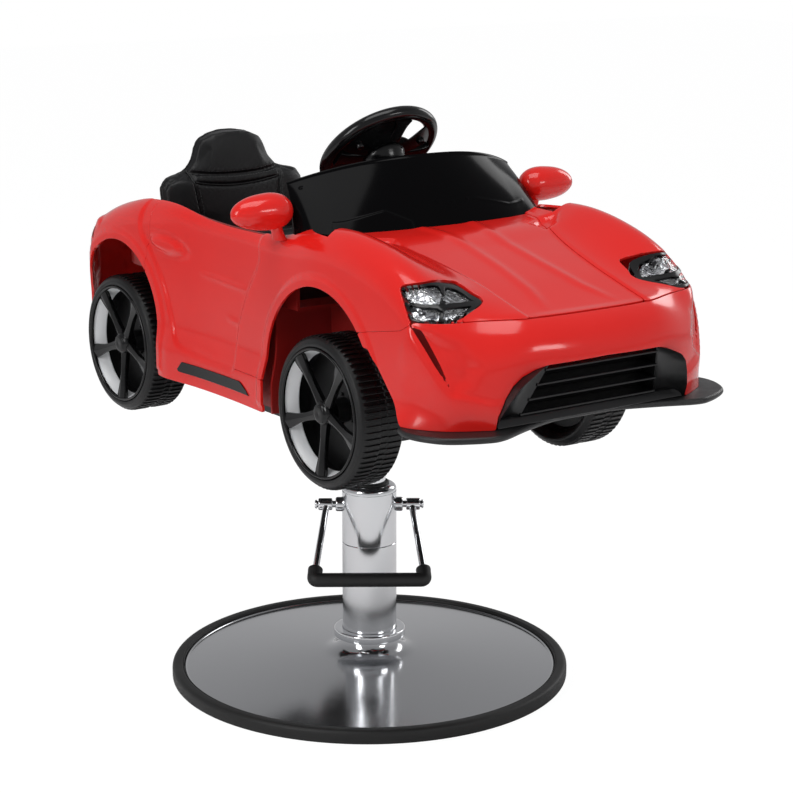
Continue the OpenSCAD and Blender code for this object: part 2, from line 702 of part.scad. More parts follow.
// The tongue before the pan carries the steering box
tongue_h = 11;
tongue_half = box_w / 2;
tongue_front = link_y - box_l / 2;
pan_mid = [-70, 205];
wing_h = 16;
pan_back = rear_axle_y + pan_behind;
pan_wall = 5;
pan_cells = 3;
axle_block = 20;
block_share = 0.75;
module pan_pockets(x0, x1, y0, y1, n, h = pan_h) {
    w = (y1 - y0 - pan_wall) / n;
    for (i = [0:n - 1]) translate([x0 + pan_wall, y0 + pan_wall + i * w, pan_z + pan_h - h - over])
        cube([x1 - x0 - 2 * pan_wall, w - pan_wall, h - pan_wall + over]);
}
module chassis_pan() {
    color("dimgray") difference() {
        union() {
            translate([-pan_half, pan_front, pan_z]) cube([2 * pan_half, pan_back - pan_front, pan_h]);
            translate([-tongue_half, tongue_front, pan_z + pan_h - tongue_h])
                cube([2 * tongue_half, pan_front - tongue_front + over, tongue_h]);
            for (s = [-1, 1]) translate([s * pan_half * block_share, rear_axle_y, pan_z + pan_h - over])
                translate([-axle_block / 2, -axle_block, 0])
                    cube([axle_block, 2 * axle_block, axle_z - pan_z - pan_h + axle_d + over]);
        }
        translate([-pan_half, rear_axle_y, axle_z]) rotate([0, 90, 0])
            cylinder(d = axle_d + 2 * run, h = 2 * pan_half, $fn = small_fn);
        for (x = [[-pan_half, 0], [-pan_wall, pan_half]]) {
            pan_pockets(x[0], x[1], pan_front, -swivel_w / 2, pan_cells);
            pan_pockets(x[0], x[1], swivel_w / 2, pan_back, pan_cells);
        }
        pan_pockets(-tongue_half, tongue_half, tongue_front, pan_front, 1, tongue_h);
    }
}
// Wing of the pan, from its side to under the sill
module pan_wing(side) {
    color("dimgray") on_side(side) difference() {
        translate([pan_half + seat_gap, pan_mid[0], pan_z + pan_h - wing_h])
            cube([pan_mid_half - pan_half - seat_gap, pan_mid[1] - pan_mid[0], wing_h]);
        pan_pockets(pan_half + seat_gap, pan_mid_half, pan_mid[0], pan_mid[1], pan_cells, wing_h);
    }
}
module rear_axle() {
    color("silver") translate([-spindle_end, rear_axle_y, axle_z]) rotate([0, 90, 0])
        cylinder(d = axle_d, h = 2 * spindle_end, $fn = small_fn);
}

// Cabin
tub_low = pan_z + pan_h;
seat_z = high(0.55);
seat_t = 32;
// Room behind the seat for the backrest
seat_behind = 62;
seat_front = cabin_end - seat_d - seat_behind;
box_half = 122;
well_from = -67;
axle_room = 2;
// The tub's rim follows the body's top, this far below it
rim_drop = 3.5;
rim_steps = 18;
// Front faces of the tub's rim and of its walls
tub_rim_front = -screen_corner - 2 * over;
tub_front = -screen_corner - over;
// A round hole for the steering shaft
module shaft_hole(d) {
    on_shaft() translate([0, 0, -shaft_end]) cylinder(d = d, h = shaft_end, $fn = small_fn);
}
// Walls round the opening, a seat box over the rear axle, a foot well before it and a toe box
module cabin_tub() {
    half = cabin_half - seat_gap;
    box_end = cabin_end - cabin_r / 2;
    color("darkred") intersection() {
        across(concat([for (i = [0:rim_steps])
            let (s = mix(along(tub_rim_front), along(tail_from), i / rim_steps))
            [place(s), high(min(curve(hood_shares, s), curve(wing_shares, s))) - rim_drop]],
            [[tail_from, tub_low], [tub_rim_front, tub_low]]), -far, far);
        difference() {
            union() {
                translate([0, 0, seat_z - wall]) linear_extrude(body_h) polygon(cabin_outline(-seat_gap));
                translate([-half, well_from, tub_low])
                    cube([2 * half, seat_front - well_from, seat_z - tub_low]);
                for (y = [[tub_front, well_from + wall], [seat_front - wall, box_end]])
                    translate([-box_half, y[0], tub_low]) cube([2 * box_half, y[1] - y[0], seat_z - tub_low]);
            }
            translate([0, 0, seat_z]) linear_extrude(body_h) polygon(cabin_outline(-seat_gap - wall));
            translate([wall - half, well_from + wall, tub_low + wall])
                cube([2 * (half - wall), seat_front - well_from - 2 * wall, body_h]);
            translate([wall - box_half, tub_front + wall, tub_low + wall])
                cube([2 * (box_half - wall), well_from - tub_front + wall, body_h]);
            translate([wall - box_half, seat_front, tub_low - over])
                cube([2 * (box_half - wall), box_end - seat_front - wall, seat_z - wall - tub_low + over]);
            translate([-cabin_half, rear_axle_y, axle_z]) rotate([0, 90, 0])
                cylinder(d = axle_d + 2 * axle_room, h = 2 * cabin_half, $fn = small_fn);
            shaft_hole(shaft_d * 2);
        }
    }
}
// Inner walls of the front wheel arches on the beam, with a bulkhead behind each wheel
liner_front_share = 0.55;
liner_front = before_axle(liner_front_share);
liner_back = place(door_share) - wall;
module front_liner() {
    low = beam_top + seat_gap;
    under_tub = seat_z - wall - seat_gap;
    color("darkred") for (s = [-1, 1]) on_side(s) one_mesh() intersection() {
        body_solid(wall * 3);
        union() {
            translate([box_half + seat_gap, liner_front, low])
                cube([wall, tub_front - seat_gap - liner_front, body_h]);
            translate([box_half + seat_gap, liner_front, low])
                cube([wall, liner_back - liner_front, under_tub - low]);
            translate([box_half + seat_gap, liner_back - wall, tub_low])
                cube([far, wall, under_tub - tub_low]);
        }
    }
}

// Closed solid between two grids of points with the same rows and columns
module sheet_solid(outer, inner) {
    n = len(outer[0]);
    m = len(outer);
    k = n * m;
    faces_out = [for (j = [0:m - 2], i = [0:n - 2]) let (a = j * n + i)
        each [[a, a + 1, a + n], [a + 1, a + n + 1, a + n]]];
    faces_in = [for (f = faces_out) [f[0] + k, f[2] + k, f[1] + k]];
    rim = concat([for (i = [0:n - 1]) i], [for (j = [1:m - 1]) j * n + n - 1],
        [for (i = [n - 2:-1:0]) (m - 1) * n + i], [for (j = [m - 2:-1:1]) j * n]);
    edge = [for (i = [0:len(rim) - 1]) let (a = rim[i], b = rim[(i + 1) % len(rim)])
        each [[b, a, a + k], [b, a + k, b + k]]];
    polyhedron(concat([for (r = outer) each r], [for (r = inner) each r]),
        concat(faces_out, faces_in, edge), convexity = 8);
}

// Windscreen: a wrapped shell from its foot to an arched top edge
screen_top_half = 195;
screen_top_corner = 81;
screen_top_bow = 56;
screen_corner_drop = 32;
screen_drop_power = 2.4;
screen_bulge = 3;
// Which way the screen bulges: forwards and up
bulge_shares = [-0.7, 0.7];
screen_rows = 8;
screen_sink = 3.2;
function screen_foot(q, grow) = let (x = q * (screen_half + grow), y = foot_y(q) - grow)
    [x, y, top_at(station(y), x) - screen_sink];
function screen_top(q, grow) = [q * (screen_top_half + grow), -screen_top_corner - grow
    - screen_top_bow * (1 - q * q),
    sill_z + screen_h - screen_corner_drop * pow(abs(q), screen_drop_power) + grow];
function screen_point(q, v, grow) = mix(screen_foot(q, grow), screen_top(q, grow), v)
    + screen_bulge * sin(180 * v) * [0, bulge_shares[0], bulge_shares[1]];
module windscreen() {
    grid = function (grow) [for (j = [0:screen_rows]) [for (i = [0:foot_steps])
        screen_point(-cos(180 * i / foot_steps), j / screen_rows, grow)]];
    color("black") sheet_solid(grid(0), grid(-wall));
}
// Dashboard: a bent panel behind the windscreen, bored for the steering shaft
dash_half = 176;
dash_top_share = 1.12;
dash_edge_share = 1.1;
dash_back = 62;
dash_hood = 96;
module dashboard() {
    front = [[-dash_hood, high(dash_top_share)], [-dash_back - wall * 2, high(dash_edge_share)],
        [-dash_back, high(dash_edge_share) - wall * 2]];
    foot = [-dash_back - wall * 3, seat_z + seat_gap];
    back = [for (i = [len(front) - 1:-1:0]) front[i] - [wall, wall]];
    color("black") difference() {
        across(concat(front, [foot, foot - [wall, 0]], back), -dash_half, dash_half);
        shaft_hole(shaft_d + slot_room);
    }
}

// Mirrors: an egg-shaped pod on a stalk
mirror_l = 96;
mirror_w = 50;
mirror_hh = 52;
mirror_y = 105;
mirror_lift_share = 1.032;
stalk_w = 17;
mirror_rings = 12;
mirror_sides = 20;
// The pod's roundness and taper, where its tips are cut off, and the stalk's foot, top and foot width
mirror_round = 2.4;
mirror_taper = 0.16;
mirror_tip_share = 0.985;
stalk_shares = [0.9, 0.99, 1.2];
function pod_ring(u) = let (f = sqrt(max(0, 1 - pow(abs(u), mirror_round))) * (1 - mirror_taper * u))
    [for (i = [0:mirror_sides - 1]) let (a = 360 * i / mirror_sides)
        [mirror_out - mirror_l / 2 + u * mirror_l / 2 + body_half, -mirror_y + f * mirror_w / 2 * cos(a),
            high(mirror_lift_share) + f * mirror_hh / 2 * sin(a)]];
module mirror_pod(side) {
    color("red") on_side(side) one_mesh() difference() {
        union() {
            loft([for (j = [0:mirror_rings]) pod_ring(mirror_tip_share * cos(180 * j / mirror_rings))]);
            hull() {
                translate([body_half - stalk_w / 2, -mirror_y, high(stalk_shares[1])])
                    cylinder(d = stalk_w, h = mirror_hh / 4, $fn = small_fn);
                translate([body_half - stalk_w, -mirror_y, high(stalk_shares[0])])
                    cylinder(d = stalk_w * stalk_shares[2], h = wall, $fn = small_fn);
            }
        }
        body_solid(-seat_gap);
    }
}

// Seat cushion and backrest: crowned, with drawn-in sides and sewn channels
cushion_crown = 9;
draw_in = 4;
// Shares of the cushion: height of its edge, place of its channels and how far the middle one runs
rim_share = 0.35;
channel_shares = [0.58, 0.6];
channel_w = 5;
channel_deep = 4;
cushion_cols = 26;
cushion_rows = 12;
function groove(t, at) = channel_deep * exp(-pow((t - at) / channel_w, 2));
module seat_cushion() {
    half = seat_w / 2;
    y0 = seat_front;
    top = function (u, v) let (x = u * half, e = (1 - pow(u, 6)) * (1 - pow(2 * v - 1, 6)))
        seat_z + seat_t * mix(rim_share, 1, e) + cushion_crown * (1 - u * u) * (1 - pow(2 * v - 1, 2))
        - groove(abs(x), half * channel_shares[0])
        - groove(y0 + v * seat_d, y0 + seat_d / 2) * (abs(u) < channel_shares[1] ? 1 : 0);
    upper = [for (j = [0:cushion_rows]) [for (i = [0:cushion_cols])
        let (u = 2 * i / cushion_cols - 1, v = j / cushion_rows) [u * half, y0 + v * seat_d, top(u, v)]]];
    lower = [for (j = [0:cushion_rows]) [for (i = [0:cushion_cols])
        let (u = 2 * i / cushion_cols - 1, v = j / cushion_rows)
        [u * (half - draw_in), y0 + draw_in + v * (seat_d - 2 * draw_in), seat_z + seat_gap]]];
    color("black") sheet_solid(upper, lower);
}
// Backrest outline: half width against height, in shares of the backrest's half width and height
back_shares = [[0.9, 0], [0.98, 0.2], [1, 0.4], [1, 0.52], [0.93, 0.6], [0.66, 0.68], [0.56, 0.76],
    [0.5, 0.87], [0.44, 0.935], [0.26, 0.99], [0.12, 1]];
back_t = 36;
back_lean = 26;
back_cols = 20;
bolster = 16;
// Shares of the backrest's height: where the bolsters begin and the headrest's seam lies
bolster_shares = [0.2, 0.32];
head_share = 0.62;
edge_share = 0.25;
function back_half(v) = back_w / 2 * lookup(v, [for (p = back_shares) [p[1], p[0]]]);
row_shares = [0, 0.06, 0.14, 0.22, 0.3, 0.38, 0.46, 0.52, 0.56, 0.6, 0.64, 0.68, 0.72, 0.78, 0.84, 0.89,
    0.935, 0.97, 1];
module seat_back() {
    low = seat_z + seat_gap;
    high_z = sill_z + back_top;
    y0 = seat_front + seat_d + seat_gap + back_t / 2;
    face = function (u, v, rear) let (h = back_half(v), x = u * h, z = mix(low, high_z, v),
        pad = sqrt(1 - pow(abs(u), 4)), half = back_t / 2 * mix(edge_share, 1, pad),
        below = v < head_share ? 1 : 0,
        roll = bolster * u * u * pad * ease(bolster_shares[0], bolster_shares[1], v)
            * mix(edge_share, 1, below))
        [x, y0 + back_lean * v + (rear ? half : groove(z, mix(low, high_z, head_share)) - half - roll
            + groove(abs(x), back_w * edge_share) * below * ease(0, bolster_shares[0], v)), z];
    front = [for (v = row_shares) [for (i = [0:back_cols]) face(2 * i / back_cols - 1, v, false)]];
    rear = [for (v = row_shares) [for (i = [0:back_cols]) face(2 * i / back_cols - 1, v, true)]];
    color("black") sheet_solid(front, rear);
}

// Steering wheel, drawn about its own axis with the driver's side up
steer_y = -27;
steer_z = 811;
steer_tilt = 44;
shaft_d = 14;
hub_drop = 14;
hub_d = 56;
horn_d = 34;
horn_h = 8;
horn_travel = 2;
spoke_gap = 22;
spoke_flat = 9;
spoke_fall = 4;
module on_shaft() {
    translate([0, steer_y, steer_z]) rotate([-steer_tilt, 0, 0]) children();
}
module steering_wheel() {
    color("black") on_shaft() {
        rotate_extrude($fn = round_fn) translate([steer_r, 0]) circle(d = steer_t, $fn = small_fn);
        difference() {
            translate([0, 0, -hub_drop - horn_h]) cylinder(d = hub_d, h = hub_drop, $fn = small_fn);
            translate([0, 0, -horn_h * 2])
                cylinder(d = horn_d + 2 * seat_gap, h = horn_h * 2, $fn = small_fn);
            translate([0, 0, -hub_drop * 2]) cylinder(d = shaft_d, h = hub_drop * 2, $fn = small_fn);
        }
        for (a = [0, 180, 270]) rotate([0, 0, a])
            translate([hub_d / 2 - over, -spoke_gap / 2, -horn_h - spoke_flat]) rotate([0, -spoke_fall, 0])
                cube([steer_r - hub_d / 2, spoke_gap, spoke_flat]);
    }
}
module horn_button() {
    color("dimgray") on_shaft() translate([0, 0, -horn_h - horn_travel])
        cylinder(d = horn_d, h = horn_h, $fn = small_fn);
}
shaft_end = (steer_z - box_z - box_h / 2) / cos(steer_tilt);
module steering_shaft() {
    color("silver") on_shaft() translate([0, 0, -shaft_end])
        cylinder(d = shaft_d, h = shaft_end - hub_drop - horn_h, $fn = small_fn);
}

// Base and pump
ring_w = 22;
ring_round = 7;
// How far the plate reaches into the rubber ring
plate_in = 4;
plate_r = base_d / 2 - ring_w + plate_in;
skirt = 8;
cover_t = 2;
collar_r = 55;
collar_h = 12;
flare_r = 64;
flare_z_share = 0.62;
// The cover's curve up to the column: shares of the way in and of its height
cover_shares = [[0.6, 0.75], [0.85, 0.88]];
tube_wall = 4;
head_round = 9;
bore_drop = 60;
lug_d = 22;
pin_d = 10;
// How much of the rod stays below its guide with the pump up
rod_left = 20;
rod_foot = head_z - bore_drop - lift_travel - rod_left;
spigot_d = 30;
spigot_h = 22;
swivel_t = 6;
swivel_w = 190;
swivel_hub = 64;
rod_top = pan_z - swivel_t - spigot_h;
eye_d = 18;
module base_plate() {
    color("dimgray") cylinder(r = plate_r, h = plate_t, $fn = base_fn);
}
module base_cover() {
    t = cover_t;
    r0 = column_d / 2 + seat_gap;
    curve = [for (p = cover_shares) [mix(flare_r, r0 + t, p[0]), cover_h * p[1]]];
    pts = concat([[plate_r, plate_t], [plate_r, plate_t + skirt], [flare_r, cover_h * flare_z_share]], curve,
        [[r0 + t, cover_h], [r0, cover_h], [r0, curve[1][1] - t / 2], curve[0] - [t, t * 2],
        [flare_r - t, cover_h * flare_z_share - t], [plate_r - t, plate_t + skirt - t],
        [plate_r - t, plate_t]]);
    color("gray") rotate_extrude($fn = base_fn) polygon(pts);
}
module base_ring() {
    r = base_d / 2;
    color("black") rotate_extrude($fn = base_fn) polygon(concat([[plate_r, 0], [r - ring_round / 2, 0]],
        arc(r - ring_round, ring_h - ring_round, ring_round, 0, 90, 5), [[plate_r - wall, ring_h],
        [plate_r - wall, plate_t + skirt + over], [plate_r, plate_t + skirt]]));
}
module collar() {
    color("silver") difference() {
        translate([0, 0, cover_h]) cylinder(r = collar_r, h = collar_h, $fn = round_fn);
        translate([0, 0, cover_h - over]) cylinder(d = column_d, h = collar_h + 2 * over, $fn = round_fn);
    }
}
module column_tube() {
    color("silver") difference() {
        translate([0, 0, plate_t]) cylinder(d = column_d, h = seam_z - plate_t, $fn = round_fn);
        translate([0, 0, plate_t + tube_wall])
            cylinder(d = column_d - 2 * tube_wall, h = seam_z, $fn = round_fn);
    }
}
module on_pump() { rotate([0, 0, pump_turn]) children(); }
module pump_head() {
    r = column_d / 2;
    color("silver") difference() {
        union() {
            rotate_extrude($fn = round_fn) polygon(concat([[0, seam_z], [r, seam_z]],
                arc(r - head_round, head_z - head_round, head_round, 0, 90, 5), [[0, head_z]]));
            on_pump() for (s = [-1, 1]) on_side(s) {
                translate([0, 0, pivot_z]) rotate([0, 90, 0]) {
                    cylinder(d = pin_d, h = arm_gap / 2 + eye_d, $fn = small_fn);
                    cylinder(d = lug_d, h = arm_gap / 2 - eye_d * 0.75, $fn = small_fn);
                }
            }
        }
        translate([0, 0, seam_z - over]) cylinder(d = rod_d + 2 * run, h = head_z, $fn = round_fn);
        translate([0, 0, seam_z - over])
            cylinder(d = column_d - 2 * tube_wall, h = head_z - seam_z - bore_drop, $fn = round_fn);
    }
}
module ram_seal() {
    color("black") difference() {
        translate([0, 0, head_z]) cylinder(d = rod_d + ring_w / 2, h = wall, $fn = round_fn);
        translate([0, 0, head_z - over]) cylinder(d = rod_d + 2 * run, h = wall + 2 * over, $fn = round_fn);
    }
}
module piston_rod() {
    color("silver") {
        translate([0, 0, rod_foot]) cylinder(d = rod_d, h = rod_top - rod_foot, $fn = round_fn);
        translate([0, 0, rod_top]) cylinder(d = spigot_d, h = spigot_h, $fn = small_fn);
    }
}
bolt_d = 8;
bolt_share = 0.8;
bolt_head = 1.7;
module swivel_plate() {
    w = swivel_w / 2;
    color("dimgray") difference() {
        union() {
            translate([-w, -w, pan_z - swivel_t]) cube([swivel_w, swivel_w, swivel_t]);
            translate([0, 0, rod_top + seat_gap])
                cylinder(d = swivel_hub, h = spigot_h - seat_gap, $fn = round_fn);
            for (x = [-1, 1], y = [-1, 1])
                translate([x * w * bolt_share, y * w * bolt_share, pan_z - swivel_t - wall])
                    cylinder(d = bolt_d * bolt_head, h = wall, $fn = 6);
        }
        translate([0, 0, rod_top - over])
            cylinder(d = spigot_d + 2 * run, h = spigot_h + over + seat_gap, $fn = round_fn);
    }
}
module at_pivot() {
    on_pump() translate([0, 0, pivot_z]) rotate([arm_slope, 0, 0]) children();
}
arm_spread = (grip_w - grip_d) / 2 - arm_gap / 2;
arm_turn = asin(arm_spread / arm_len);
// How far the arms stop before the grip's middle, and its balls and sockets: shares of its diameter
grip_shares = [0.4, 1.08, 0.9];
arm_end = arm_len - grip_d * grip_shares[0];
// One arm's rod, from its eye to the grip
module arm_rod() {
    translate([arm_gap / 2, 0, 0]) rotate([90, 0, arm_turn]) cylinder(d = arm_d, h = arm_end, $fn = small_fn);
}
module pedal_arm(side) {
    color("silver") at_pivot() on_side(side) difference() {
        union() {
            translate([arm_gap / 2 - eye_d / 2, 0, 0]) rotate([0, 90, 0])
                cylinder(d = eye_d, h = eye_d * 1.2, $fn = small_fn);
            arm_rod();
        }
        translate([arm_gap / 2 - eye_d, 0, 0]) rotate([0, 90, 0])
            cylinder(d = pin_d + 2 * run, h = eye_d * 3, $fn = small_fn);
    }
}
module pedal_grip() {
    x = (grip_w - grip_d) / 2;
    y = -sqrt(arm_len * arm_len - arm_spread * arm_spread);
    color("black") at_pivot() difference() {
        union() {
            translate([-x, y, 0]) rotate([0, 90, 0]) cylinder(d = grip_d, h = 2 * x, $fn = small_fn);
            for (s = [-1, 1]) {
                translate([s * x, y, 0]) sphere(d = grip_d * grip_shares[1], $fn = small_fn);
                translate([s * x, y, 0]) rotate([-90, 0, s * arm_turn])
                    cylinder(d = grip_d * grip_shares[2], h = grip_d, $fn = small_fn);
            }
        }
        for (s = [-1, 1]) on_side(s) arm_rod();
    }
}

base_plate();
base_cover();
base_ring();
collar();
column_tube();
pump_head();
ram_seal();
piston_rod();
swivel_plate();
pedal_arm(1);  // pedal_arm_left
pedal_arm(-1);  // pedal_arm_right
pedal_grip();
chassis_pan();
pan_wing(1);  // pan_wing_left
pan_wing(-1);  // pan_wing_right
front_beam();
rear_axle();
hood();
fender(1);  // fender_left
fender(-1);  // fender_right
front_bumper();
side(1);  // side_left
side(-1);  // side_right
quarter(1);  // quarter_left
quarter(-1);  // quarter_right
tail_panel();
cabin_tub();
dashboard();
windscreen();
mirror_pod(1);  // mirror_left
mirror_pod(-1);  // mirror_right
lamp(1);  // lamp_left
lamp(-1);  // lamp_right
lens(1);  // lens_left
lens(-1);  // lens_right
tail_lamp();
grille();
splitter();
sill_strips();
front_liner();
steering_box();
seat_cushion();
seat_back();
steering_wheel();
steering_shaft();
horn_button();
tie_rod();
knuckle(1);  // knuckle_left
knuckle(-1);  // knuckle_right
at_wheel(1, -front_axle) tyre();  // tyre_front_left
at_wheel(1, -front_axle) barrel();  // barrel_front_left
at_wheel(1, -front_axle) cover();  // cover_front_left
at_wheel(-1, -front_axle) tyre();  // tyre_front_right
at_wheel(-1, -front_axle) barrel();  // barrel_front_right
at_wheel(-1, -front_axle) cover();  // cover_front_right
at_wheel(1, rear_axle_y) tyre();  // tyre_rear_left
at_wheel(1, rear_axle_y) barrel();  // barrel_rear_left
at_wheel(1, rear_axle_y) cover();  // cover_rear_left
at_wheel(-1, rear_axle_y) tyre();  // tyre_rear_right
at_wheel(-1, rear_axle_y) barrel();  // barrel_rear_right
at_wheel(-1, rear_axle_y) cover();  // cover_rear_right
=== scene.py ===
# %% [markdown]
# # A children's barber chair with a toy car body
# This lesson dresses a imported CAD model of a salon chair: a glossy red toy car on a chromed hydraulic
# pump, with a foot pedal and a round polished base. The CAD model is the fixed frame. Each cell makes
# one piece or one finish, says what it is on the real chair, and why it is made this way.

# %% Load the fixed frame
import math
import bmesh
import bpy
import numpy as np
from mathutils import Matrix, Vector
from mathutils.bvhtree import BVHTree


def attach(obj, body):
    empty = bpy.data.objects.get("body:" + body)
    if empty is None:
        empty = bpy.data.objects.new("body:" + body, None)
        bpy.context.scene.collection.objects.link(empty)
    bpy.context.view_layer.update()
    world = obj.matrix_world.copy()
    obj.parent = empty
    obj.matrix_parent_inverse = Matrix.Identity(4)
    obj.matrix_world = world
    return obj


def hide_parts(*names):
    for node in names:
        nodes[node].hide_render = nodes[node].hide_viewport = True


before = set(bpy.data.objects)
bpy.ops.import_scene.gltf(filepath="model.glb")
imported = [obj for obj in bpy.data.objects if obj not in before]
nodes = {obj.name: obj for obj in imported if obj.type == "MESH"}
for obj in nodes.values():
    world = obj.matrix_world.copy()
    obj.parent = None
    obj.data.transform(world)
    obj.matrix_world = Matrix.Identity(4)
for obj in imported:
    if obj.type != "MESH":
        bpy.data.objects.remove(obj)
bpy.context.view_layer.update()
MM = 0.001

# %% [markdown]
# ## The camera
# The photograph was taken with a long lens from the front right, a little above the car. The place and
# the angles below were worked out from the chair's printed sizes, so that pieces land on their pixels.

# %% Camera at the photograph's angle
eye = Vector((-1.8013, -2.5775, 1.1908))
turn, pitch = 0.6232, -0.2360
camera = bpy.data.objects.new("camera", bpy.data.cameras.new("camera"))
bpy.context.collection.objects.link(camera)
camera.location = eye
camera.rotation_euler = (math.pi / 2 + pitch, 0, -turn)
camera.data.lens = 97.34
camera.data.sensor_width = 36
camera.data.clip_end = 60
bpy.context.scene.camera = camera
bpy.context.scene.view_settings.view_transform = "Standard"
print("camera stands", round(eye.length, 2), "m from the column's foot")

# %% [markdown]
# ## Small tools for meshes and materials
# Every finished piece sits at the origin with its place in its vertices. One function makes a piece from
# plain numbers, and others loft, lathe or round its outline. Another turns a hex colour to linear light, and
# one adds a shader node with its links.

# %% Tools for meshes
SIDES = ((1, "left"), (-1, "right"))


def piece(name, verts, faces, body, finish, sharp=38, corner_normals=None):
    """A mesh object from points in millimetres, smooth but for edges sharper than an angle."""
    mesh = bpy.data.meshes.new(name)
    mesh.from_pydata((np.asarray(verts, float) * MM).tolist(), [], [tuple(f) for f in faces])
    mesh.validate()
    mesh.shade_smooth()
    if corner_normals is None:
        mesh.set_sharp_from_angle(angle=math.radians(sharp))
    else:
        mesh.normals_split_custom_set(corner_normals)
    obj = bpy.data.objects.new(name, mesh)
    bpy.context.collection.objects.link(obj)
    mesh.materials.append(finish)
    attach(obj, body)
    return obj


def join_shapes(shapes):
    """Several (points, faces) as one."""
    points, faces, start = [], [], 0
    for p, f in shapes:
        points.append(np.asarray(p, float))
        faces += [tuple(i + start for i in face) for face in f]
        start += len(p)
    return np.concatenate(points), faces


def grid_faces(rows, cols, wrap=False, flip=False):
    """Quads of a grid of points, stored row by row."""
    faces = []
    for j in range(rows - 1):
        for i in range(cols if wrap else cols - 1):
            a, b = j * cols + i, j * cols + (i + 1) % cols
            quad = (a, b, b + cols, a + cols)
            faces.append(quad[::-1] if flip else quad)
    return faces


def two_sheets(front, rear):
    """A closed shape from two grids of points of one size, joined all round."""
    rows, cols = front.shape[:2]
    n = rows * cols
    faces = grid_faces(rows, cols)
    faces += [tuple(i + n for i in f[::-1]) for f in faces]
    rim = list(range(cols)) + [j * cols + cols - 1 for j in range(1, rows)]
    rim += [(rows - 1) * cols + i for i in range(cols - 2, -1, -1)] + [j * cols for j in range(rows - 2, 0, -1)]
    faces += [(b, a, a + n, b + n) for a, b in zip(rim, rim[1:] + rim[:1])]
    return np.concatenate([front.reshape(-1, 3), rear.reshape(-1, 3)]), faces


def loft(rings, closed_ends=True):
    """A skin through rings of points that run counter-clockwise about the way they go."""
    rings = np.asarray(rings, float)
    m, n = rings.shape[:2]
    faces = grid_faces(m, n, wrap=True)
    if closed_ends:
        faces += [tuple(range(n - 1, -1, -1)), tuple(range((m - 1) * n, m * n))]
    return rings.reshape(-1, 3), faces


def circle(count):
    """Cosines and sines of evenly spaced angles."""
    a = np.linspace(0, 2 * np.pi, count, endpoint=False)
    return np.cos(a), np.sin(a)


def flipped(faces):
    return [f[::-1] for f in faces]


def rounded(profile, radius, steps=3, closed=False):
    """A polyline with its corners rounded."""
    p = [np.asarray(q, float) for q in profile]
    out = []
    for i, q in enumerate(p):
        if not closed and i in (0, len(p) - 1):
            out.append(q)
            continue
        a, b = p[i - 1] - q, p[(i + 1) % len(p)] - q
        la, lb = np.linalg.norm(a), np.linalg.norm(b)
        r = min(radius, la * 0.45, lb * 0.45)
        a, b = q + a / la * r, q + b / lb * r
        for t in np.linspace(0, 1, steps + 1):
            out.append(a * (1 - t) ** 2 + 2 * q * t * (1 - t) + b * t * t)
    return np.array(out)


def lathe(profile, segments=128):
    """Turns a closed profile of (radius, height) points, counter-clockwise, about the vertical axis."""
    profile = np.asarray(profile, float)
    turn_by = np.linspace(0, 2 * np.pi, segments, endpoint=False)
    rings = [np.stack([profile[:, 0] * math.cos(a), profile[:, 0] * math.sin(a), profile[:, 1]], 1) for a in turn_by]
    n = len(profile)
    faces = []
    for j in range(segments):
        k = (j + 1) % segments
        for i in range(n):
            h = (i + 1) % n
            if profile[i, 0] < 1e-6 and profile[h, 0] < 1e-6:
                continue
            faces.append((j * n + i, k * n + i, k * n + h, j * n + h))
    return np.concatenate(rings), faces


def tidy(obj, distance=0.00001):
    """Merges doubled points and turns the faces outwards."""
    bm = bmesh.new()
    bm.from_mesh(obj.data)
    bmesh.ops.remove_doubles(bm, verts=bm.verts, dist=distance)
    bmesh.ops.dissolve_degenerate(bm, edges=bm.edges, dist=distance)
    bmesh.ops.recalc_face_normals(bm, faces=bm.faces)
    bm.to_mesh(obj.data)
    bm.free()
    return obj


def stands_for(made, node):
    """Lets a piece take the place of a CAD node, by hiding the node."""
    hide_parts(node)
    return made


def dressed(made, node):
    """Merges a piece's doubled points, and lets it take the place of a CAD node."""
    return stands_for(tidy(made), node)


def normalised(vectors):
    return vectors / np.maximum(1e-9, np.linalg.norm(vectors, axis=-1, keepdims=True))


# %% Tools for materials
def linear(hex_colour):
    """An sRGB hex colour as linear light."""
    parts = [int(hex_colour[i:i + 2], 16) / 255 for i in (1, 3, 5)]
    return [c / 12.92 if c <= 0.04045 else ((c + 0.055) / 1.055) ** 2.4 for c in parts] + [1]


def add(tree, kind, links=(), **settings):
    """Adds a node, sets its sockets or properties, and links (source socket, own socket name)."""
    made = tree.nodes.new(kind)
    for key, value in settings.items():
        socket = key.replace("_", " ")
        found = [s for s in made.inputs if s.name.lower() == socket.lower()]
        if hasattr(made, key):
            setattr(made, key, value)
        elif found:
            found[0].default_value = value
    for source, target in links:
        tree.links.new(source, made.inputs[target])
    return made


def finish(name, colour, **sockets):
    """A new material on a Principled shader, and its tree and shader for more nodes."""
    material = bpy.data.materials.new(name)
    material.use_nodes = True
    tree = material.node_tree
    shader = tree.nodes["Principled BSDF"]
    shader.inputs["Base Color"].default_value = linear(colour)
    for key, value in sockets.items():
        shader.inputs[key.replace("_", " ").title().replace("Ior", "IOR")].default_value = value
    place = add(tree, "ShaderNodeTexCoord")
    return material, tree, shader, place.outputs["Object"]


def mixed_colour(tree, shader, mask, first, second):
    """Two close shades of a colour, mixed by a mask."""
    ramp = add(tree, "ShaderNodeMix", [(mask, "Factor")], data_type="RGBA")
    ramp.inputs[6].default_value, ramp.inputs[7].default_value = linear(first), linear(second)
    tree.links.new(ramp.outputs[2], shader.inputs["Base Color"])


def spread(tree, source, low, high):
    """Stretches a 0 to 1 pattern to a range."""
    return add(tree, "ShaderNodeMapRange", [(source, "Value")], To_Min=low, To_Max=high).outputs[0]


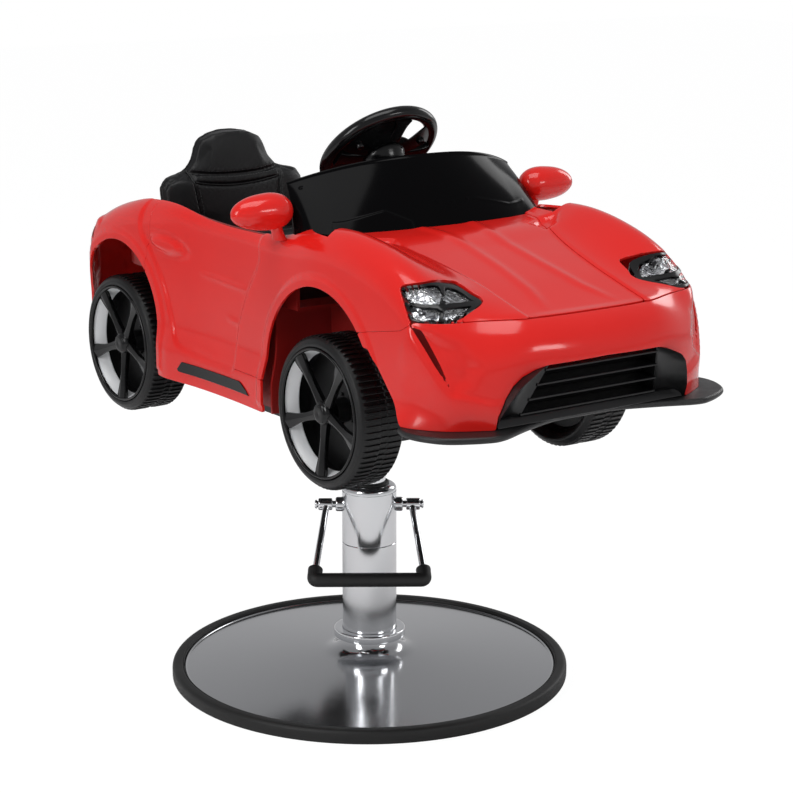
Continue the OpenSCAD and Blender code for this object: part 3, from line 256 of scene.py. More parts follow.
def dent(tree, shader, height, distance, strength=1.0):
    """Feeds a height pattern to the shader as a bump, with its depth in metres."""
    made = add(tree, "ShaderNodeBump", [(height, "Height")], Distance=distance, Strength=strength)
    tree.links.new(made.outputs[0], shader.inputs["Normal"])


# %% [markdown]
# ## The studio
# The photograph shows the chair cut out on white. The floor and the world are white to the camera and to
# reflections only. Large soft lamps light the chair at a plain level. Two long lamps stand so that their
# reflections run along the wings and the bumper, as they do in the photograph.

# %% World, floor and lamps
world = bpy.data.worlds.new("studio")
bpy.context.scene.world = world
world.use_nodes = True
sky = world.node_tree
sky.nodes.clear()
rays = add(sky, "ShaderNodeLightPath")
seen = add(sky, "ShaderNodeMath", [(rays.outputs["Is Camera Ray"], 0), (rays.outputs["Is Transmission Ray"], 1)],
    operation="MAXIMUM")
around = add(sky, "ShaderNodeTexCoord")
height = add(sky, "ShaderNodeSeparateXYZ", [(around.outputs["Generated"], 0)])
walls = add(sky, "ShaderNodeValToRGB", [(spread(sky, height.outputs[2], 0.5, 1.0), "Fac")])
walls.color_ramp.elements[0].position, walls.color_ramp.elements[0].color = 0.44, (0.72, 0.72, 0.73, 1)
walls.color_ramp.elements[1].position, walls.color_ramp.elements[1].color = 0.8, (0.42, 0.42, 0.43, 1)
plain = add(sky, "ShaderNodeBackground", [(walls.outputs[0], "Color")], Strength=0.8)
white = add(sky, "ShaderNodeBackground", Color=(1, 1, 1, 1), Strength=1.0)
shown = add(sky, "ShaderNodeMixShader", [(seen.outputs[0], 0), (plain.outputs[0], 1), (white.outputs[0], 2)])
add(sky, "ShaderNodeOutputWorld", [(shown.outputs[0], 0)])

floor_finish, tree, shader, spot = finish("paper_floor", "#ffffff", roughness=0.9)
rays = add(tree, "ShaderNodeLightPath")
glow = add(tree, "ShaderNodeEmission", Color=(1, 1, 1, 1), Strength=1.08)
share = add(tree, "ShaderNodeMath", [(rays.outputs["Is Camera Ray"], 0)], operation="MULTIPLY")
share.inputs[1].default_value = 0.88
part_glow = add(tree, "ShaderNodeMixShader", [(share.outputs[0], 0), (shader.outputs[0], 1), (glow.outputs[0], 2)])
tree.links.new(part_glow.outputs[0], tree.nodes["Material Output"].inputs["Surface"])
bpy.ops.mesh.primitive_plane_add(size=24, location=(0, 0, -0.0005))
floor = bpy.context.object
floor.name = "floor"
floor.data.materials.append(floor_finish)


def lamp_panel(name, place, aim, size, power):
    """A rectangular soft lamp."""
    light = bpy.data.lights.new(name, "AREA")
    light.shape, light.size, light.size_y, light.energy = "RECTANGLE", size[0], size[1], power
    obj = bpy.data.objects.new(name, light)
    bpy.context.collection.objects.link(obj)
    obj.location = place
    obj.rotation_euler = (Vector(aim) - Vector(place)).to_track_quat("-Z", "Y").to_euler()


lamp_panel("top_softbox", (-0.4, -0.6, 3.2), (0, 0, 0.5), (2.2, 1.6), 38)
lamp_panel("left_softbox", (-3.0, -0.6, 1.9), (0, 0, 0.6), (0.9, 1.6), 30)
lamp_panel("front_softbox", (0.9, -3.2, 1.7), (0, 0, 0.6), (1.1, 0.5), 13)
lamp_panel("right_softbox", (2.8, 0.4, 1.6), (0, 0, 0.6), (0.8, 1.6), 14)
print("studio with 4 soft lamps")

# %% [markdown]
# ## The finishes
# The body is moulded in red ABS with a high gloss: its colour comes from the plastic, and its shine from
# the polished mould. Moulded surfaces are never quite flat, so a very shallow, wide ripple bends the
# reflections a little. Dust and handling make the gloss slightly uneven.

# %% Moulded plastics
def moulded(name, colour, deeper, roughness, coat=0.0, ripple=0.0004, grain=None, shine=0.5):
    """Plastic from a mould: two close shades, an uneven gloss, a wide ripple and, if named, a fine grain."""
    material, tree, shader, spot = finish(name, colour, roughness=roughness, coat_weight=coat, coat_roughness=0.04)
    shader.inputs["Specular IOR Level"].default_value = shine
    wide = add(tree, "ShaderNodeTexNoise", [(spot, "Vector")], Scale=9.0, Detail=2.0)
    mixed_colour(tree, shader, wide.outputs[0], colour, deeper)
    fine = add(tree, "ShaderNodeTexNoise", [(spot, "Vector")], Scale=55.0, Detail=3.0)
    tree.links.new(spread(tree, fine.outputs[0], roughness * 0.8, roughness * 1.35), shader.inputs["Roughness"])
    if grain:
        cells = add(tree, "ShaderNodeTexVoronoi", [(spot, "Vector")], Scale=grain)
        dent(tree, shader, cells.outputs[0], 0.00025, 0.5)
    elif ripple:
        dent(tree, shader, wide.outputs[0], ripple, 0.35)
    return material


# Gloss red ABS: saturated, with a mirror-like top.
red_abs = moulded("gloss_red_abs", "#e0221c", "#d81d18", 0.15, coat=0.25, shine=0.32)
# The inside of the same red mouldings, with painted shade: a darker red, because they lie in shade.
painted_shade_red = moulded("red_abs_painted_shade", "#951815", "#801412", 0.38)
# Gloss black ABS of the windscreen.
piano_abs = moulded("gloss_black_abs", "#070708", "#050506", 0.13, ripple=0.0003, shine=0.05)
# Grained black polypropylene: the mould is etched with a grain of about 0.8 mm.
grained_pp = moulded("grained_black_pp", "#151516", "#101011", 0.42, grain=900.0)
satin_pp = moulded("satin_black_pp", "#121213", "#0d0d0e", 0.3)
# The wheels are blown from black HDPE, a little waxy.
wheel_hdpe = moulded("black_hdpe", "#0d0d0e", "#09090a", 0.36, grain=1300.0, shine=0.35)
gloss_pp = moulded("gloss_black_pp", "#0a0a0b", "#070708", 0.17, coat=0.12, shine=0.3)
silver_abs = moulded("silver_lacquer", "#f6f7f8", "#eceef0", 0.3)
tail_red = moulded("red_acrylic", "#8e0d0c", "#7a0a0a", 0.08, coat=0.8)

# %% [markdown]
# Chrome plating is a mirror whose colour is a cool grey. The base cover is stainless sheet that was
# polished on a lathe, so fine rings run round its middle: they are drawn from the distance to the axis.

# %% Metals
def plated(name, colour, roughness, rings=0.0):
    """A metal, with lathe rings about the chair's axis where rings is over zero."""
    material, tree, shader, spot = finish(name, colour, metallic=1.0, roughness=roughness)
    smear = add(tree, "ShaderNodeTexNoise", [(spot, "Vector")], Scale=14.0, Detail=4.0)
    tree.links.new(spread(tree, smear.outputs[0], roughness * 0.75, roughness * 1.5), shader.inputs["Roughness"])
    if rings:
        flat = add(tree, "ShaderNodeVectorMath", [(spot, 0)], operation="MULTIPLY")
        flat.inputs[1].default_value = (1, 1, 0)
        far_out = add(tree, "ShaderNodeVectorMath", [(flat.outputs[0], 0)], operation="LENGTH")
        scaled = add(tree, "ShaderNodeMath", [(far_out.outputs["Value"], 0)], operation="MULTIPLY")
        scaled.inputs[1].default_value = rings
        turned = add(tree, "ShaderNodeTexNoise", [(scaled.outputs[0], "W")], noise_dimensions="1D", Scale=1.0,
            Detail=2.0)
        dent(tree, shader, turned.outputs[0], 0.00006, 0.5)
    return material


chrome = plated("chrome_plate", "#e3e4e6", 0.05)
polished = plated("polished_stainless", "#bfc0c2", 0.13, rings=420.0)
# Hard chrome on the pump's tube is honed, so its reflections are softer than those of bright plating.
tube_chrome = plated("honed_chrome", "#d4d5d7", 0.14)
bright_steel = plated("turned_steel", "#b9babc", 0.26)

# %% [markdown]
# Powder coat on the steel frame has a fine orange peel. Rubber is matt and slightly grey where it is
# handled. The seat is leatherette: a PVC skin embossed with a pebble grain about 1.2 mm wide.

# %% Powder coat, rubber and leatherette
def pebbled(name, colour, deeper, roughness, cell, depth, sheen=0.0, shine=0.5):
    """A surface with a pebble grain: cell is the pebbles' size in metres, depth the grooves'."""
    material, tree, shader, spot = finish(name, colour, roughness=roughness, sheen_weight=sheen)
    shader.inputs["Specular IOR Level"].default_value = shine
    wide = add(tree, "ShaderNodeTexNoise", [(spot, "Vector")], Scale=18.0, Detail=3.0)
    mixed_colour(tree, shader, wide.outputs[0], colour, deeper)
    cells = add(tree, "ShaderNodeTexVoronoi", [(spot, "Vector")], feature="DISTANCE_TO_EDGE", Scale=1 / cell)
    edge = spread(tree, cells.outputs["Distance"], 0.0, 1.0)
    edge.node.inputs["From Max"].default_value = 0.25
    tree.links.new(spread(tree, wide.outputs[0], roughness * 0.85, roughness * 1.15), shader.inputs["Roughness"])
    dent(tree, shader, edge, depth, 0.7)
    return material


powder_coat = pebbled("black_powder_coat", "#17171a", "#111113", 0.45, 0.0016, 0.00006)
base_rubber = pebbled("moulded_rubber", "#0b0b0b", "#070707", 0.55, 0.0012, 0.00004)
leatherette = pebbled("pebbled_leatherette", "#0c0c0d", "#08080a", 0.36, 0.0016, 0.00012, shine=0.3)
thread_black = pebbled("bonded_thread", "#1c1c1e", "#121213", 0.6, 0.0005, 0.00008, sheen=0.3)

# %% [markdown]
# The lamp's cover is clear polycarbonate. Behind it, a vacuum-plated reflector is pressed with small
# facets that scatter the light. Each facet is painted a tone from near white to dark grey: painted reflections.

# %% Lamp finishes
clear_cover, tree, shader, spot = finish("clear_polycarbonate", "#f4f6f8", roughness=0.02, ior=1.45,
    transmission_weight=1.0)
shader.inputs["Alpha"].default_value = 0.22
facet_mirror, tree, shader, spot = finish("faceted_reflector_painted_glints", "#c9cbd0", metallic=1.0, roughness=0.16)
facets = add(tree, "ShaderNodeTexVoronoi", [(spot, "Vector")], Scale=170.0)
# Painted reflections: each facet cell gets a random tone from near white to dark grey, for the light it would catch.
each = add(tree, "ShaderNodeSeparateColor", [(facets.outputs["Color"], 0)])
mixed_colour(tree, shader, each.outputs[0], "#f2f3f5", "#4a4c53")
dent(tree, shader, facets.outputs["Distance"], 0.0016, 0.9)
mirror_glass = plated("mirror_glass", "#dfe3e6", 0.02)
print("finishes made:", len(bpy.data.materials))

# %% [markdown]
# ## The car body's surface
# The body is a set of red mouldings on one smooth form. The same rule as in the CAD gives the form:
# tables of heights and widths along the car, rounded edges, and a nose and tail that draw back at their
# corners. Rays cast from a line inside the car find the surface, closely enough for clean reflections.

# %% The form as a rule
NOSE, TAIL, HALF, SILL, TALL, WALL = 540.0, 490.0, 240.0, 460.0, 280.0, 4.0
LENGTH = NOSE + TAIL
BEFORE_AXLE, AFTER_AXLE, AXLE_Z = -221.0, 342.0, 487.0
hood_table = np.array([[0, .65], [.054, .7], [.138, .786], [.236, .876], [.3, .93], [.4, .94], [.46, .905],
    [.54, .893], [.64, .905], [.73, .94], [.79, .935], [.852, .885], [.918, .805], [1, .65]])
wing_table = np.array([[0, .54], [.04, .61], [.087, .74], [.128, .85], [.179, .935], [.253, 1], [.319, 1.01],
    [.379, .97], [.44, .907], [.53, .895], [.63, .907], [.73, .945], [.79, .945], [.852, .9], [.918, .82], [1, .65]])
width_table = np.array([[0, 1], [.11, 1.012], [.31, 1.005], [.42, .968], [.53, .942], [.63, .945], [.75, .99],
    [.86, 1.005], [.94, .995], [1, .975]])
crown_table = np.array([[0, .16], [.36, .16], [.46, .08], [.68, .08], [.78, .14], [1, .145]])
crease_table = np.array([[0, .405], [.05, .414], [.1, .418], [.14, .425], [.207, .467], [.265, .535], [.3, .596],
    [.42, .66], [1, .66]])


def ease(a, b, t):
    q = np.clip((t - a) / (b - a), 0, 1)
    return q * q * (3 - 2 * q)


def curve(table, t):
    """A smooth curve through a table of places and values."""
    i = np.clip(np.searchsorted(table[:, 0], t, side="right") - 1, 0, len(table) - 2)

    def slope(k):
        a, b = np.maximum(0, k - 1), np.minimum(len(table) - 1, k + 1)
        return (table[b, 1] - table[a, 1]) / (table[b, 0] - table[a, 0])

    w = table[i + 1, 0] - table[i, 0]
    q = np.clip((t - table[i, 0]) / w, 0, 1)
    return ((2 * q**3 - 3 * q**2 + 1) * table[i, 1] + (q**3 - 2 * q**2 + q) * w * slope(i)
            + (3 * q**2 - 2 * q**3) * table[i + 1, 1] + (q**3 - q**2) * w * slope(i + 1))


def high(share):
    return SILL + share * TALL


def place(share):
    return share * LENGTH - NOSE


def outside(p):
    """Distance-like value in millimetres, below zero inside the body."""
    x, y, z = np.abs(p[..., 0]), p[..., 1], p[..., 2]
    s = (y + NOSE) / LENGTH
    hood, wing, crown = high(curve(hood_table, s)), high(curve(wing_table, s)), TALL * curve(crown_table, s)
    top = hood + (wing - hood) * ease(HALF * curve(crease_table, s), HALF * 0.9, x)
    h = (z - SILL) / TALL
    flare = ease(0.3, 0.15, h)
    side = (HALF * curve(width_table, s) - 10 * np.maximum(0, (h - 0.46) / 0.54) ** 2
            + 9 * flare * ease(0.3, 0.44, s) * ease(0.76, 0.7, s) + 14 * flare * ease(0.2, 0.12, s))
    nose = -NOSE + 55 * (x / (HALF * 0.9)) ** 2.6
    tail = TAIL - 25 * (x / (HALF * 0.9)) ** 4
    parts = [z - top, x - side, nose - y, y - tail]
    return np.sqrt(sum(np.maximum(0, q + crown) ** 2 for q in parts)) - crown


def cast(start, way, reach=480.0):
    """Where rays leave the body, found by halving."""
    low, far_end = np.zeros(len(start)), np.full(len(start), reach)
    for _ in range(26):
        middle = (low + far_end) / 2
        out = outside(start + way * middle[:, None]) > 0
        far_end = np.where(out, middle, far_end)
        low = np.where(out, low, middle)
    return start + way * low[:, None]


def uphill(p):
    """The outward normal of the form, from small steps."""
    return normalised(np.stack([outside(p + d) - outside(p - d) for d in np.eye(3) * 0.4], -1))


# %% [markdown]
# The rays' angles are spread so that their hits lie evenly along a section. Near the nose and the tail the
# rays fan forwards and backwards from one point, so that the blunt ends get as many points as the sides.

# %% Cast the skin
MIDDLE = high(0.48)


def even_angles(y, count):
    a = np.radians(np.linspace(-48, 228, 2000))
    way = np.stack([np.cos(a), 0 * a, np.sin(a)], 1)
    hit = cast(np.tile([0, y, MIDDLE], (len(a), 1)), way)
    along = np.concatenate([[0], np.cumsum(np.linalg.norm(np.diff(hit, axis=0), axis=1))])
    return np.interp(np.linspace(0, along[-1], count), along, a)


upper = (even_angles(-300.0, 300) + even_angles(60.0, 300)) / 2
angles = np.concatenate([upper, np.radians(np.linspace(232, 308, 20))])
FRONT_FAN, REAR_FAN = -400.0, 400.0
rows = []
for tip in np.radians(np.linspace(89.7, 1.5, 74)):
    rows.append((FRONT_FAN, -math.sin(tip), math.cos(tip)))
for y in np.arange(FRONT_FAN, REAR_FAN + 1, 3.2):
    rows.append((y, 0.0, 1.0))
for tip in np.radians(np.linspace(1.5, 89.7, 52)):
    rows.append((REAR_FAN, math.sin(tip), math.cos(tip)))
starts = np.concatenate([np.tile([0, y, MIDDLE], (len(angles), 1)) for y, _, _ in rows])
ways = np.concatenate([np.stack([np.cos(angles) * c, np.full(len(angles), s), np.sin(angles) * c], 1)
    for _, s, c in rows])
skin = cast(starts, ways)
skin_normals = uphill(skin)
print("skin points", len(skin))

# %% [markdown]
# ## Raised and sunk lines
# The moulding has soft steps: the hood lies a little lower than the wings, the door is set into the side,
# the arches have a flat lip, the handle stands out and the bumper has a pocket behind each slot. Each one
# is a distance to a line or an outline on the skin, turned into a small height.

# %% Distances to outlines
def outline_distance(points, outline):
    """Signed distance of 2D points to a closed outline, above zero inside."""
    a = np.asarray(outline, float)
    b = np.roll(a, -1, axis=0)
    best, inside = np.full(len(points), 1e9), np.zeros(len(points), bool)
    for p, q in zip(a, b):
        e = q - p
        w = points - p
        t = np.clip((w @ e) / max(1e-12, e @ e), 0, 1)
        best = np.minimum(best, np.linalg.norm(w - t[:, None] * e, axis=1))
        cross = (p[1] > points[:, 1]) != (q[1] > points[:, 1])
        x = (q[0] - p[0]) * (points[:, 1] - p[1]) / (q[1] - p[1] + 1e-12) + p[0]
        inside ^= cross & (points[:, 0] < x)
    return np.where(inside, best, -best)


def line_distance(points, line):
    """Distance of points to an open polyline, and the share of the way along it."""
    a = np.asarray(line, float)
    best, share = np.full(len(points), 1e9), np.zeros(len(points))
    for i, (p, q) in enumerate(zip(a[:-1], a[1:])):
        e = q - p
        t = np.clip(((points - p) @ e) / max(1e-12, e @ e), 0, 1)
        d = np.linalg.norm(points - p - t[:, None] * e, axis=1)
        share = np.where(d < best, (i + t) / (len(a) - 1), share)
        best = np.minimum(best, d)
    return best, share


def smooth_line(points, n=6):
    """A curve through points, with n pieces between two of them."""
    p = [np.asarray(q, float) for q in points]
    out = []
    for i in range(len(p) - 1):
        a, b, c, d = p[max(0, i - 1)], p[i], p[i + 1], p[min(len(p) - 1, i + 2)]
        for t in np.arange(n) / n:
            out.append((2 * b + (c - a) * t + (2 * a - 5 * b + 4 * c - d) * t * t
                + (3 * b - a - 3 * c + d) * t**3) / 2)
    return np.array(out + [p[-1]])


front_arch, rear_arch = (BEFORE_AXLE, AXLE_Z + 33, 141.0), (AFTER_AXLE - 7, AXLE_Z + 48, 118.0)


def arch_distance(p, arch):
    """Distance outside an arch's opening: a circle over a straight-sided drop."""
    y, z = p[:, 1] - arch[0], p[:, 2] - arch[1]
    return np.where(z > 0, np.hypot(y, z), np.abs(y)) - arch[2]


door_outline = smooth_line([(place(.479), high(.96)), (place(.479), high(.88)), (place(.474), high(.75)),
    (place(.499), high(.6)), (place(.522), high(.44)), (place(.534), high(.29)), (place(.531), high(.17)),
    (place(.56), high(.155)), (place(.655), high(.175)), (place(.69), high(.22)), (place(.705), high(.33)),
    (place(.722), high(.5)), (place(.755), high(.66)), (place(.785), high(.76)), (place(.79), high(.96))])
CORNER = math.radians(36)


def corner_view(p):
    """Places as seen square to the wing's corner: across and height."""
    return np.stack([np.abs(p[:, 0]) * math.cos(CORNER) + p[:, 1] * math.sin(CORNER), p[:, 2]], 1)


def lines_height(p):
    """How far the moulding stands out of the plain form, in millimetres."""
    side_view, plan, corner = p[:, 1:3], np.stack([np.abs(p[:, 0]), p[:, 1]], 1), corner_view(p)
    s = (p[:, 1] + NOSE) / LENGTH
    rise = np.zeros(len(p))
    # the hood lies lower than the wings
    across = plan[:, 0] - HALF * curve(crease_table, np.clip(s, 0, 1))
    on_hood = (p[:, 2] > high(0.66)) & (p[:, 1] < -110)
    fade = ease(0.03, 0.05, s) * ease(0.6, 0.52, s)
    rise -= np.where(on_hood, 3.0 * ease(5, -3, across) * fade, 0)
    inner = np.interp(s, [.046, .106, .177, .245, .29, .36], [.25, .176, .145, .132, .148, .2]) * HALF
    rise += np.where(on_hood, 1.6 * np.exp(-(((plan[:, 0] - inner) / 9) ** 2)) * fade * ease(0.04, 0.1, s), 0)
    # scoops where the hood meets the windscreen
    scoop = outline_distance(plan, [(150, -255), (176, -228), (150, -214), (118, -232), (126, -262)])
    rise -= np.where(on_hood, 7 * ease(-2, 12, scoop), 0)
    # the door is set into the side
    on_side = (np.abs(p[:, 0]) > 180) & (p[:, 2] < high(1.0))
    door = outline_distance(side_view, door_outline)
    rise -= np.where(on_side, 3.5 * ease(-2, 4, door) * ease(high(0.97), high(0.84), p[:, 2]), 0)
    # creases in the door
    for line, tall in (([(108, 630), (40, 627), (-26, 624)], 1.6), ([(40, 575), (0, 572)], 1.2),
            ([(120, 520), (60, 516)], 0.8)):
        d, share = line_distance(side_view, line)
        ends = np.sin(np.pi * np.clip(share, 0.02, 0.98)) ** 0.4
        rise += np.where(on_side, tall * np.exp(-((d / 3.2) ** 2)) * ends, 0)
    # the handle: an oval in a shallow dish
    oval = np.hypot((p[:, 1] - 201) / 42, (p[:, 2] - 662 - (p[:, 1] - 201) * 0.1) / 11.5)
    rise += np.where(on_side, 5.0 * ease(1.06, 0.72, oval) - 1.4 * np.exp(-(((oval - 1.25) / 0.2) ** 2)), 0)
    # a flat lip round the arches
    for arch in (front_arch, rear_arch):
        d = arch_distance(p, arch)
        rise += np.where(on_side & (p[:, 2] > 470), 2.4 * ease(17, 12, d), 0)
    # the bumper's pocket inside the slot, and the ledge that runs from its foot along the mouth
    bumper = p[:, 1] < -395
    pocket = outline_distance(corner, [(-66, 640), (-84, 640), (-128, 626), (-152, 596), (-140, 572),
        (-116, 562), (-98, 584)])
    rise -= np.where(bumper, 7 * ease(-6, 16, pocket), 0)
    ledge_line = [(-60, 640), (-97, 585), (-114, 561), (-138, 556), (-166, 548), (-196, 552)]
    ledge, share = line_distance(corner, ledge_line)
    below = outline_distance(corner, ledge_line + [(-230, 500), (-20, 500)])
    rise += np.where(bumper, 3.0 * ease(-5, 3, below) * ease(46, 8, ledge) * ease(1.0, 0.7, share), 0)
    # the tail: a sunk field below the lamp strip and a small lip on the deck's edge
    tail = p[:, 1] > 440
    field = outline_distance(np.stack([p[:, 0], p[:, 2]], 1), [(-150, 612), (150, 612), (128, 548), (-128, 548)])
    rise -= np.where(tail, 5 * ease(-3, 5, field), 0)
    rise += np.where(p[:, 1] > 400, 3.0 * np.exp(-(((p[:, 2] - high(0.755)) / 6) ** 2)), 0)
    return rise


skin = skin + skin_normals * lines_height(skin)[:, None]
count = len(angles)
cells = np.array(grid_faces(len(rows), count, wrap=True, flip=True))
skin_tris = np.concatenate([cells[:, [0, 1, 2]], cells[:, [0, 2, 3]]])
weights = np.cross(skin[skin_tris[:, 1]] - skin[skin_tris[:, 0]], skin[skin_tris[:, 2]] - skin[skin_tris[:, 0]])
normals = np.zeros_like(skin)
for k in range(3):
    np.add.at(normals, skin_tris[:, k], weights)
facing = np.sign(np.median(np.einsum("ij,ij->i", normals, skin_normals)))
if facing < 0:
    skin_tris, normals = skin_tris[:, ::-1], -normals
blunt = np.linalg.norm(normals, axis=1, keepdims=True) < 1e-6
skin_normals = np.where(blunt, skin_normals, normalised(normals))
print("skin triangles", len(skin_tris), "facing", facing)

# %% [markdown]
# ## Cutting panels out of the skin
# A panel is the part of the skin where a distance is over zero: the least of several, such as the distance
# inside the hood's outline and outside the windscreen's foot. Triangles that cross zero are cut there. The
# cut edge then gets a small round and a wall of 4 mm, as a real moulding has, so that every seam catches the
# light.

# %% Cut, round and thicken
def cut(points, extra, tris, value):
    """Keeps the part of a triangle mesh where value is above zero. extra is carried along."""
    inside = value > 0
    count_in = inside[tris].sum(1)
    kept = [tris[count_in == 3]]
    new_points, new_extra, start = [points], [extra], len(points)
    for want in (1, 2):
        part = tris[count_in == want]
        if not len(part):
            continue
        # corner a is the odd one out, and new points lie where its two edges cross zero
        odd = np.argmax(inside[part] == (want == 1), axis=1)
        a, b, c = [part[np.arange(len(part)), (odd + k) % 3] for k in range(3)]
        made = []
        for other in (b, c):
            t = (value[a] / (value[a] - value[other]))[:, None]
            new_points.append(points[a] + (points[other] - points[a]) * t)
            new_extra.append(extra[a] + (extra[other] - extra[a]) * t)
            made.append(np.arange(start, start + len(part)))
            start += len(part)
        if want == 1:
            kept.append(np.stack([a, made[0], made[1]], 1))
        else:
            kept.append(np.stack([made[0], b, c], 1))
            kept.append(np.stack([made[0], c, made[1]], 1))
    return np.concatenate(new_points), np.concatenate(new_extra), np.concatenate(kept)


def weld(points, extra, tris, cell=0.02):
    """Merges points that lie together, and drops triangles that come to nothing."""
    keys = np.round(points / cell).astype(np.int64)
    _, first, back = np.unique(keys, axis=0, return_index=True, return_inverse=True)
    back = back.reshape(-1)
    tris = back[tris]
    good = (tris[:, 0] != tris[:, 1]) & (tris[:, 1] != tris[:, 2]) & (tris[:, 0] != tris[:, 2])
    tris = tris[good]
    used, back = np.unique(tris, return_inverse=True)
    return points[first][used], extra[first][used], back.reshape(-1, 3)


def thicken(points, normals, tris, wall, edge=1.0):
    """A closed shell: the cut skin, a rounded edge, a wall and an inner skin, with its corner normals."""
    normals = normals / np.linalg.norm(normals, axis=1, keepdims=True)
    n = len(points)
    pairs = np.concatenate([tris[:, [0, 1]], tris[:, [1, 2]], tris[:, [2, 0]]])
    key, back = pairs[:, 0] * n + pairs[:, 1], pairs[:, 1] * n + pairs[:, 0]
    # an edge that no other triangle runs back along lies on the rim
    rim = pairs[~np.isin(key, back)]
    out = np.zeros_like(points)
    way = points[rim[:, 1]] - points[rim[:, 0]]
    away = normalised(np.cross(way, normals[rim[:, 0]]))
    np.add.at(out, rim[:, 0], away)
    np.add.at(out, rim[:, 1], away)
    on_rim = np.unique(rim)
    t = out[on_rim]
    t /= np.maximum(0.3, np.linalg.norm(t, axis=1, keepdims=True))
    # t points outwards along the surface, and three steps round the edge from the skin to the wall
    base, nrm = points[on_rim], normals[on_rim]
    slot = np.full(n, -1)
    slot[on_rim] = np.arange(len(on_rim))
    layers, layer_normals = [], []
    for a in np.radians([30, 60, 90]):
        layers.append(base + t * edge * math.sin(a) - nrm * edge * (1 - math.cos(a)))
        layer_normals.append(nrm * math.cos(a) + t * math.sin(a))
    layers.append(base + t * edge - nrm * wall)
    all_points = np.concatenate([points, *layers, points - normals * wall])
    inner = n + 4 * len(on_rim)
    faces, corners = [tris], [normals[tris]]
    a, b = rim[:, 0], rim[:, 1]
    sa, sb = slot[a], slot[b]
    ring = [(a, b, nrm[sa], nrm[sb])]
    for k in range(3):
        first, own_normals = n + k * len(on_rim), layer_normals[k]
        ring.append((first + sa, first + sb, own_normals[sa], own_normals[sb]))
    wall_a, wall_b = n + 3 * len(on_rim) + sa, n + 3 * len(on_rim) + sb
    ring.append((wall_a, wall_b, t[sa], t[sb]))
    # each strip joins one layer of the edge to the next, and the last one ends at the inner skin
    ring_pairs = list(zip(ring[:-1], ring[1:]))
    ring_pairs.append(((wall_a, wall_b, -nrm[sa], -nrm[sb]), (inner + a, inner + b, -nrm[sa], -nrm[sb])))
    for (a0, b0, na0, nb0), (a1, b1, na1, nb1) in ring_pairs:
        faces += [np.stack([b0, a0, a1], 1), np.stack([b0, a1, b1], 1)]
        corners += [np.stack([nb0, na0, na1], 1), np.stack([nb0, na1, nb1], 1)]
    faces.append(tris[:, ::-1] + inner)
    corners.append(-normals[tris[:, ::-1]])
    return all_points, np.concatenate(faces), np.concatenate(corners).reshape(-1, 3)


def panel(name, node, near, paint=red_abs, wall=WALL, edge=0.7, seam=0.15, lift=0.0):
    """The part of the skin that lies inside a panel, by a distance for each point, in place of its CAD node."""
    points, extra, tris = cut(skin + skin_normals * lift, skin_normals, skin_tris, near - seam - edge)
    points, extra, tris = weld(points, extra, tris)
    points, faces, corners = thicken(points, extra, tris, wall, edge)
    made = piece(name, points, faces.tolist(), "car", paint, corner_normals=corners)
    if node:
        stands_for(made, node)


# %% [markdown]
# ## The red panels
# The outlines are the ones of the CAD: crease lines bound the hood, the windscreen's foot and the cabin
# bound the top, and lamps, slots and the grille's mouth are holes. The lamps and slots are cut square to
# the wing's corner, 36 degrees round from straight ahead.

# %% Outlines of openings
SCREEN_HALF, SCREEN_FOOT, SCREEN_DEPTH = 211.0, -124.0, 68.0
QUARTER_FROM, TAIL_FROM, LOW_EDGE, STRIP_Z = place(.765), 417.0, high(.17), high(.66) + 8


def scaled(shares):
    """An outline from shares of the car's half width and of its height."""
    return [(x * HALF, high(z)) for x, z in shares]


foot = [(q * (SCREEN_HALF + 0.3), SCREEN_FOOT - 0.3 - SCREEN_DEPTH * math.sqrt(max(0, 1 - abs(q) ** 3)))
    for q in -np.cos(np.linspace(0, math.pi, 41))]
corner_arc = [(118 + 90 * math.cos(a), 326 + 90 * math.sin(a)) for a in np.linspace(0, math.pi / 2, 12)]
top_hole = foot + [(208, -123)] + corner_arc + [(-x, y) for x, y in corner_arc[::-1]] + [(-208, -123)]
bumper_outline = [(-600, high(.19)), (place(.21), high(.19)), (place(.21), high(.565)), (place(.121), high(.626)),
    (place(.104), high(.66)), (place(.104), high(.675)), (-600, high(.675))]
slant_outline = [(-308.4, AXLE_Z - 60), (-428, AXLE_Z - 60), (-428, high(.19)), (-347.9, high(.5)), (-308.4, high(.5))]
lamp_outline = smooth_line(scaled([(-.202, .801), (-.223, .822), (-.362, .835), (-.471, .814), (-.53, .794),
    (-.588, .767), (-.645, .739), (-.572, .71), (-.502, .686), (-.386, .68), (-.262, .676), (-.242, .7),
    (-.202, .801)]), 3)
slot_outline = scaled([(-.26, .655), (-.313, .642), (-.36, .575), (-.412, .492), (-.47, .384), (-.392, .481),
    (-.329, .568)])
mouth_half = [(.68, .18), (.67, .25), (.63, .33), (.59, .39), (.54, .43), (.47, .458), (.39, .475), (0, .483)]
mouth_outline = scaled(mouth_half + [(-x, z) for x, z in mouth_half[-2::-1]])
ahead_of_door = list(door_outline[:37]) + [(-222, high(.17)), (-222, high(.96))]
sill_outline = [(place(.475), high(.06)), (place(.49), high(.078)), (place(.51), high(.118)),
    (place(.665), high(.118)), (place(.68), high(.06))]

# %% Distances of the skin's points to the outlines
skin_x, skin_y, skin_z = skin.T
in_side_view, in_corner_view = skin[:, 1:3], corner_view(skin)


def hole(view, outline, where):
    """Distance outside a hole that only exists where the mask is true."""
    return np.where(where, -outline_distance(view, outline), 1e3)


def least(*values):
    return np.minimum.reduce(np.broadcast_arrays(*values))


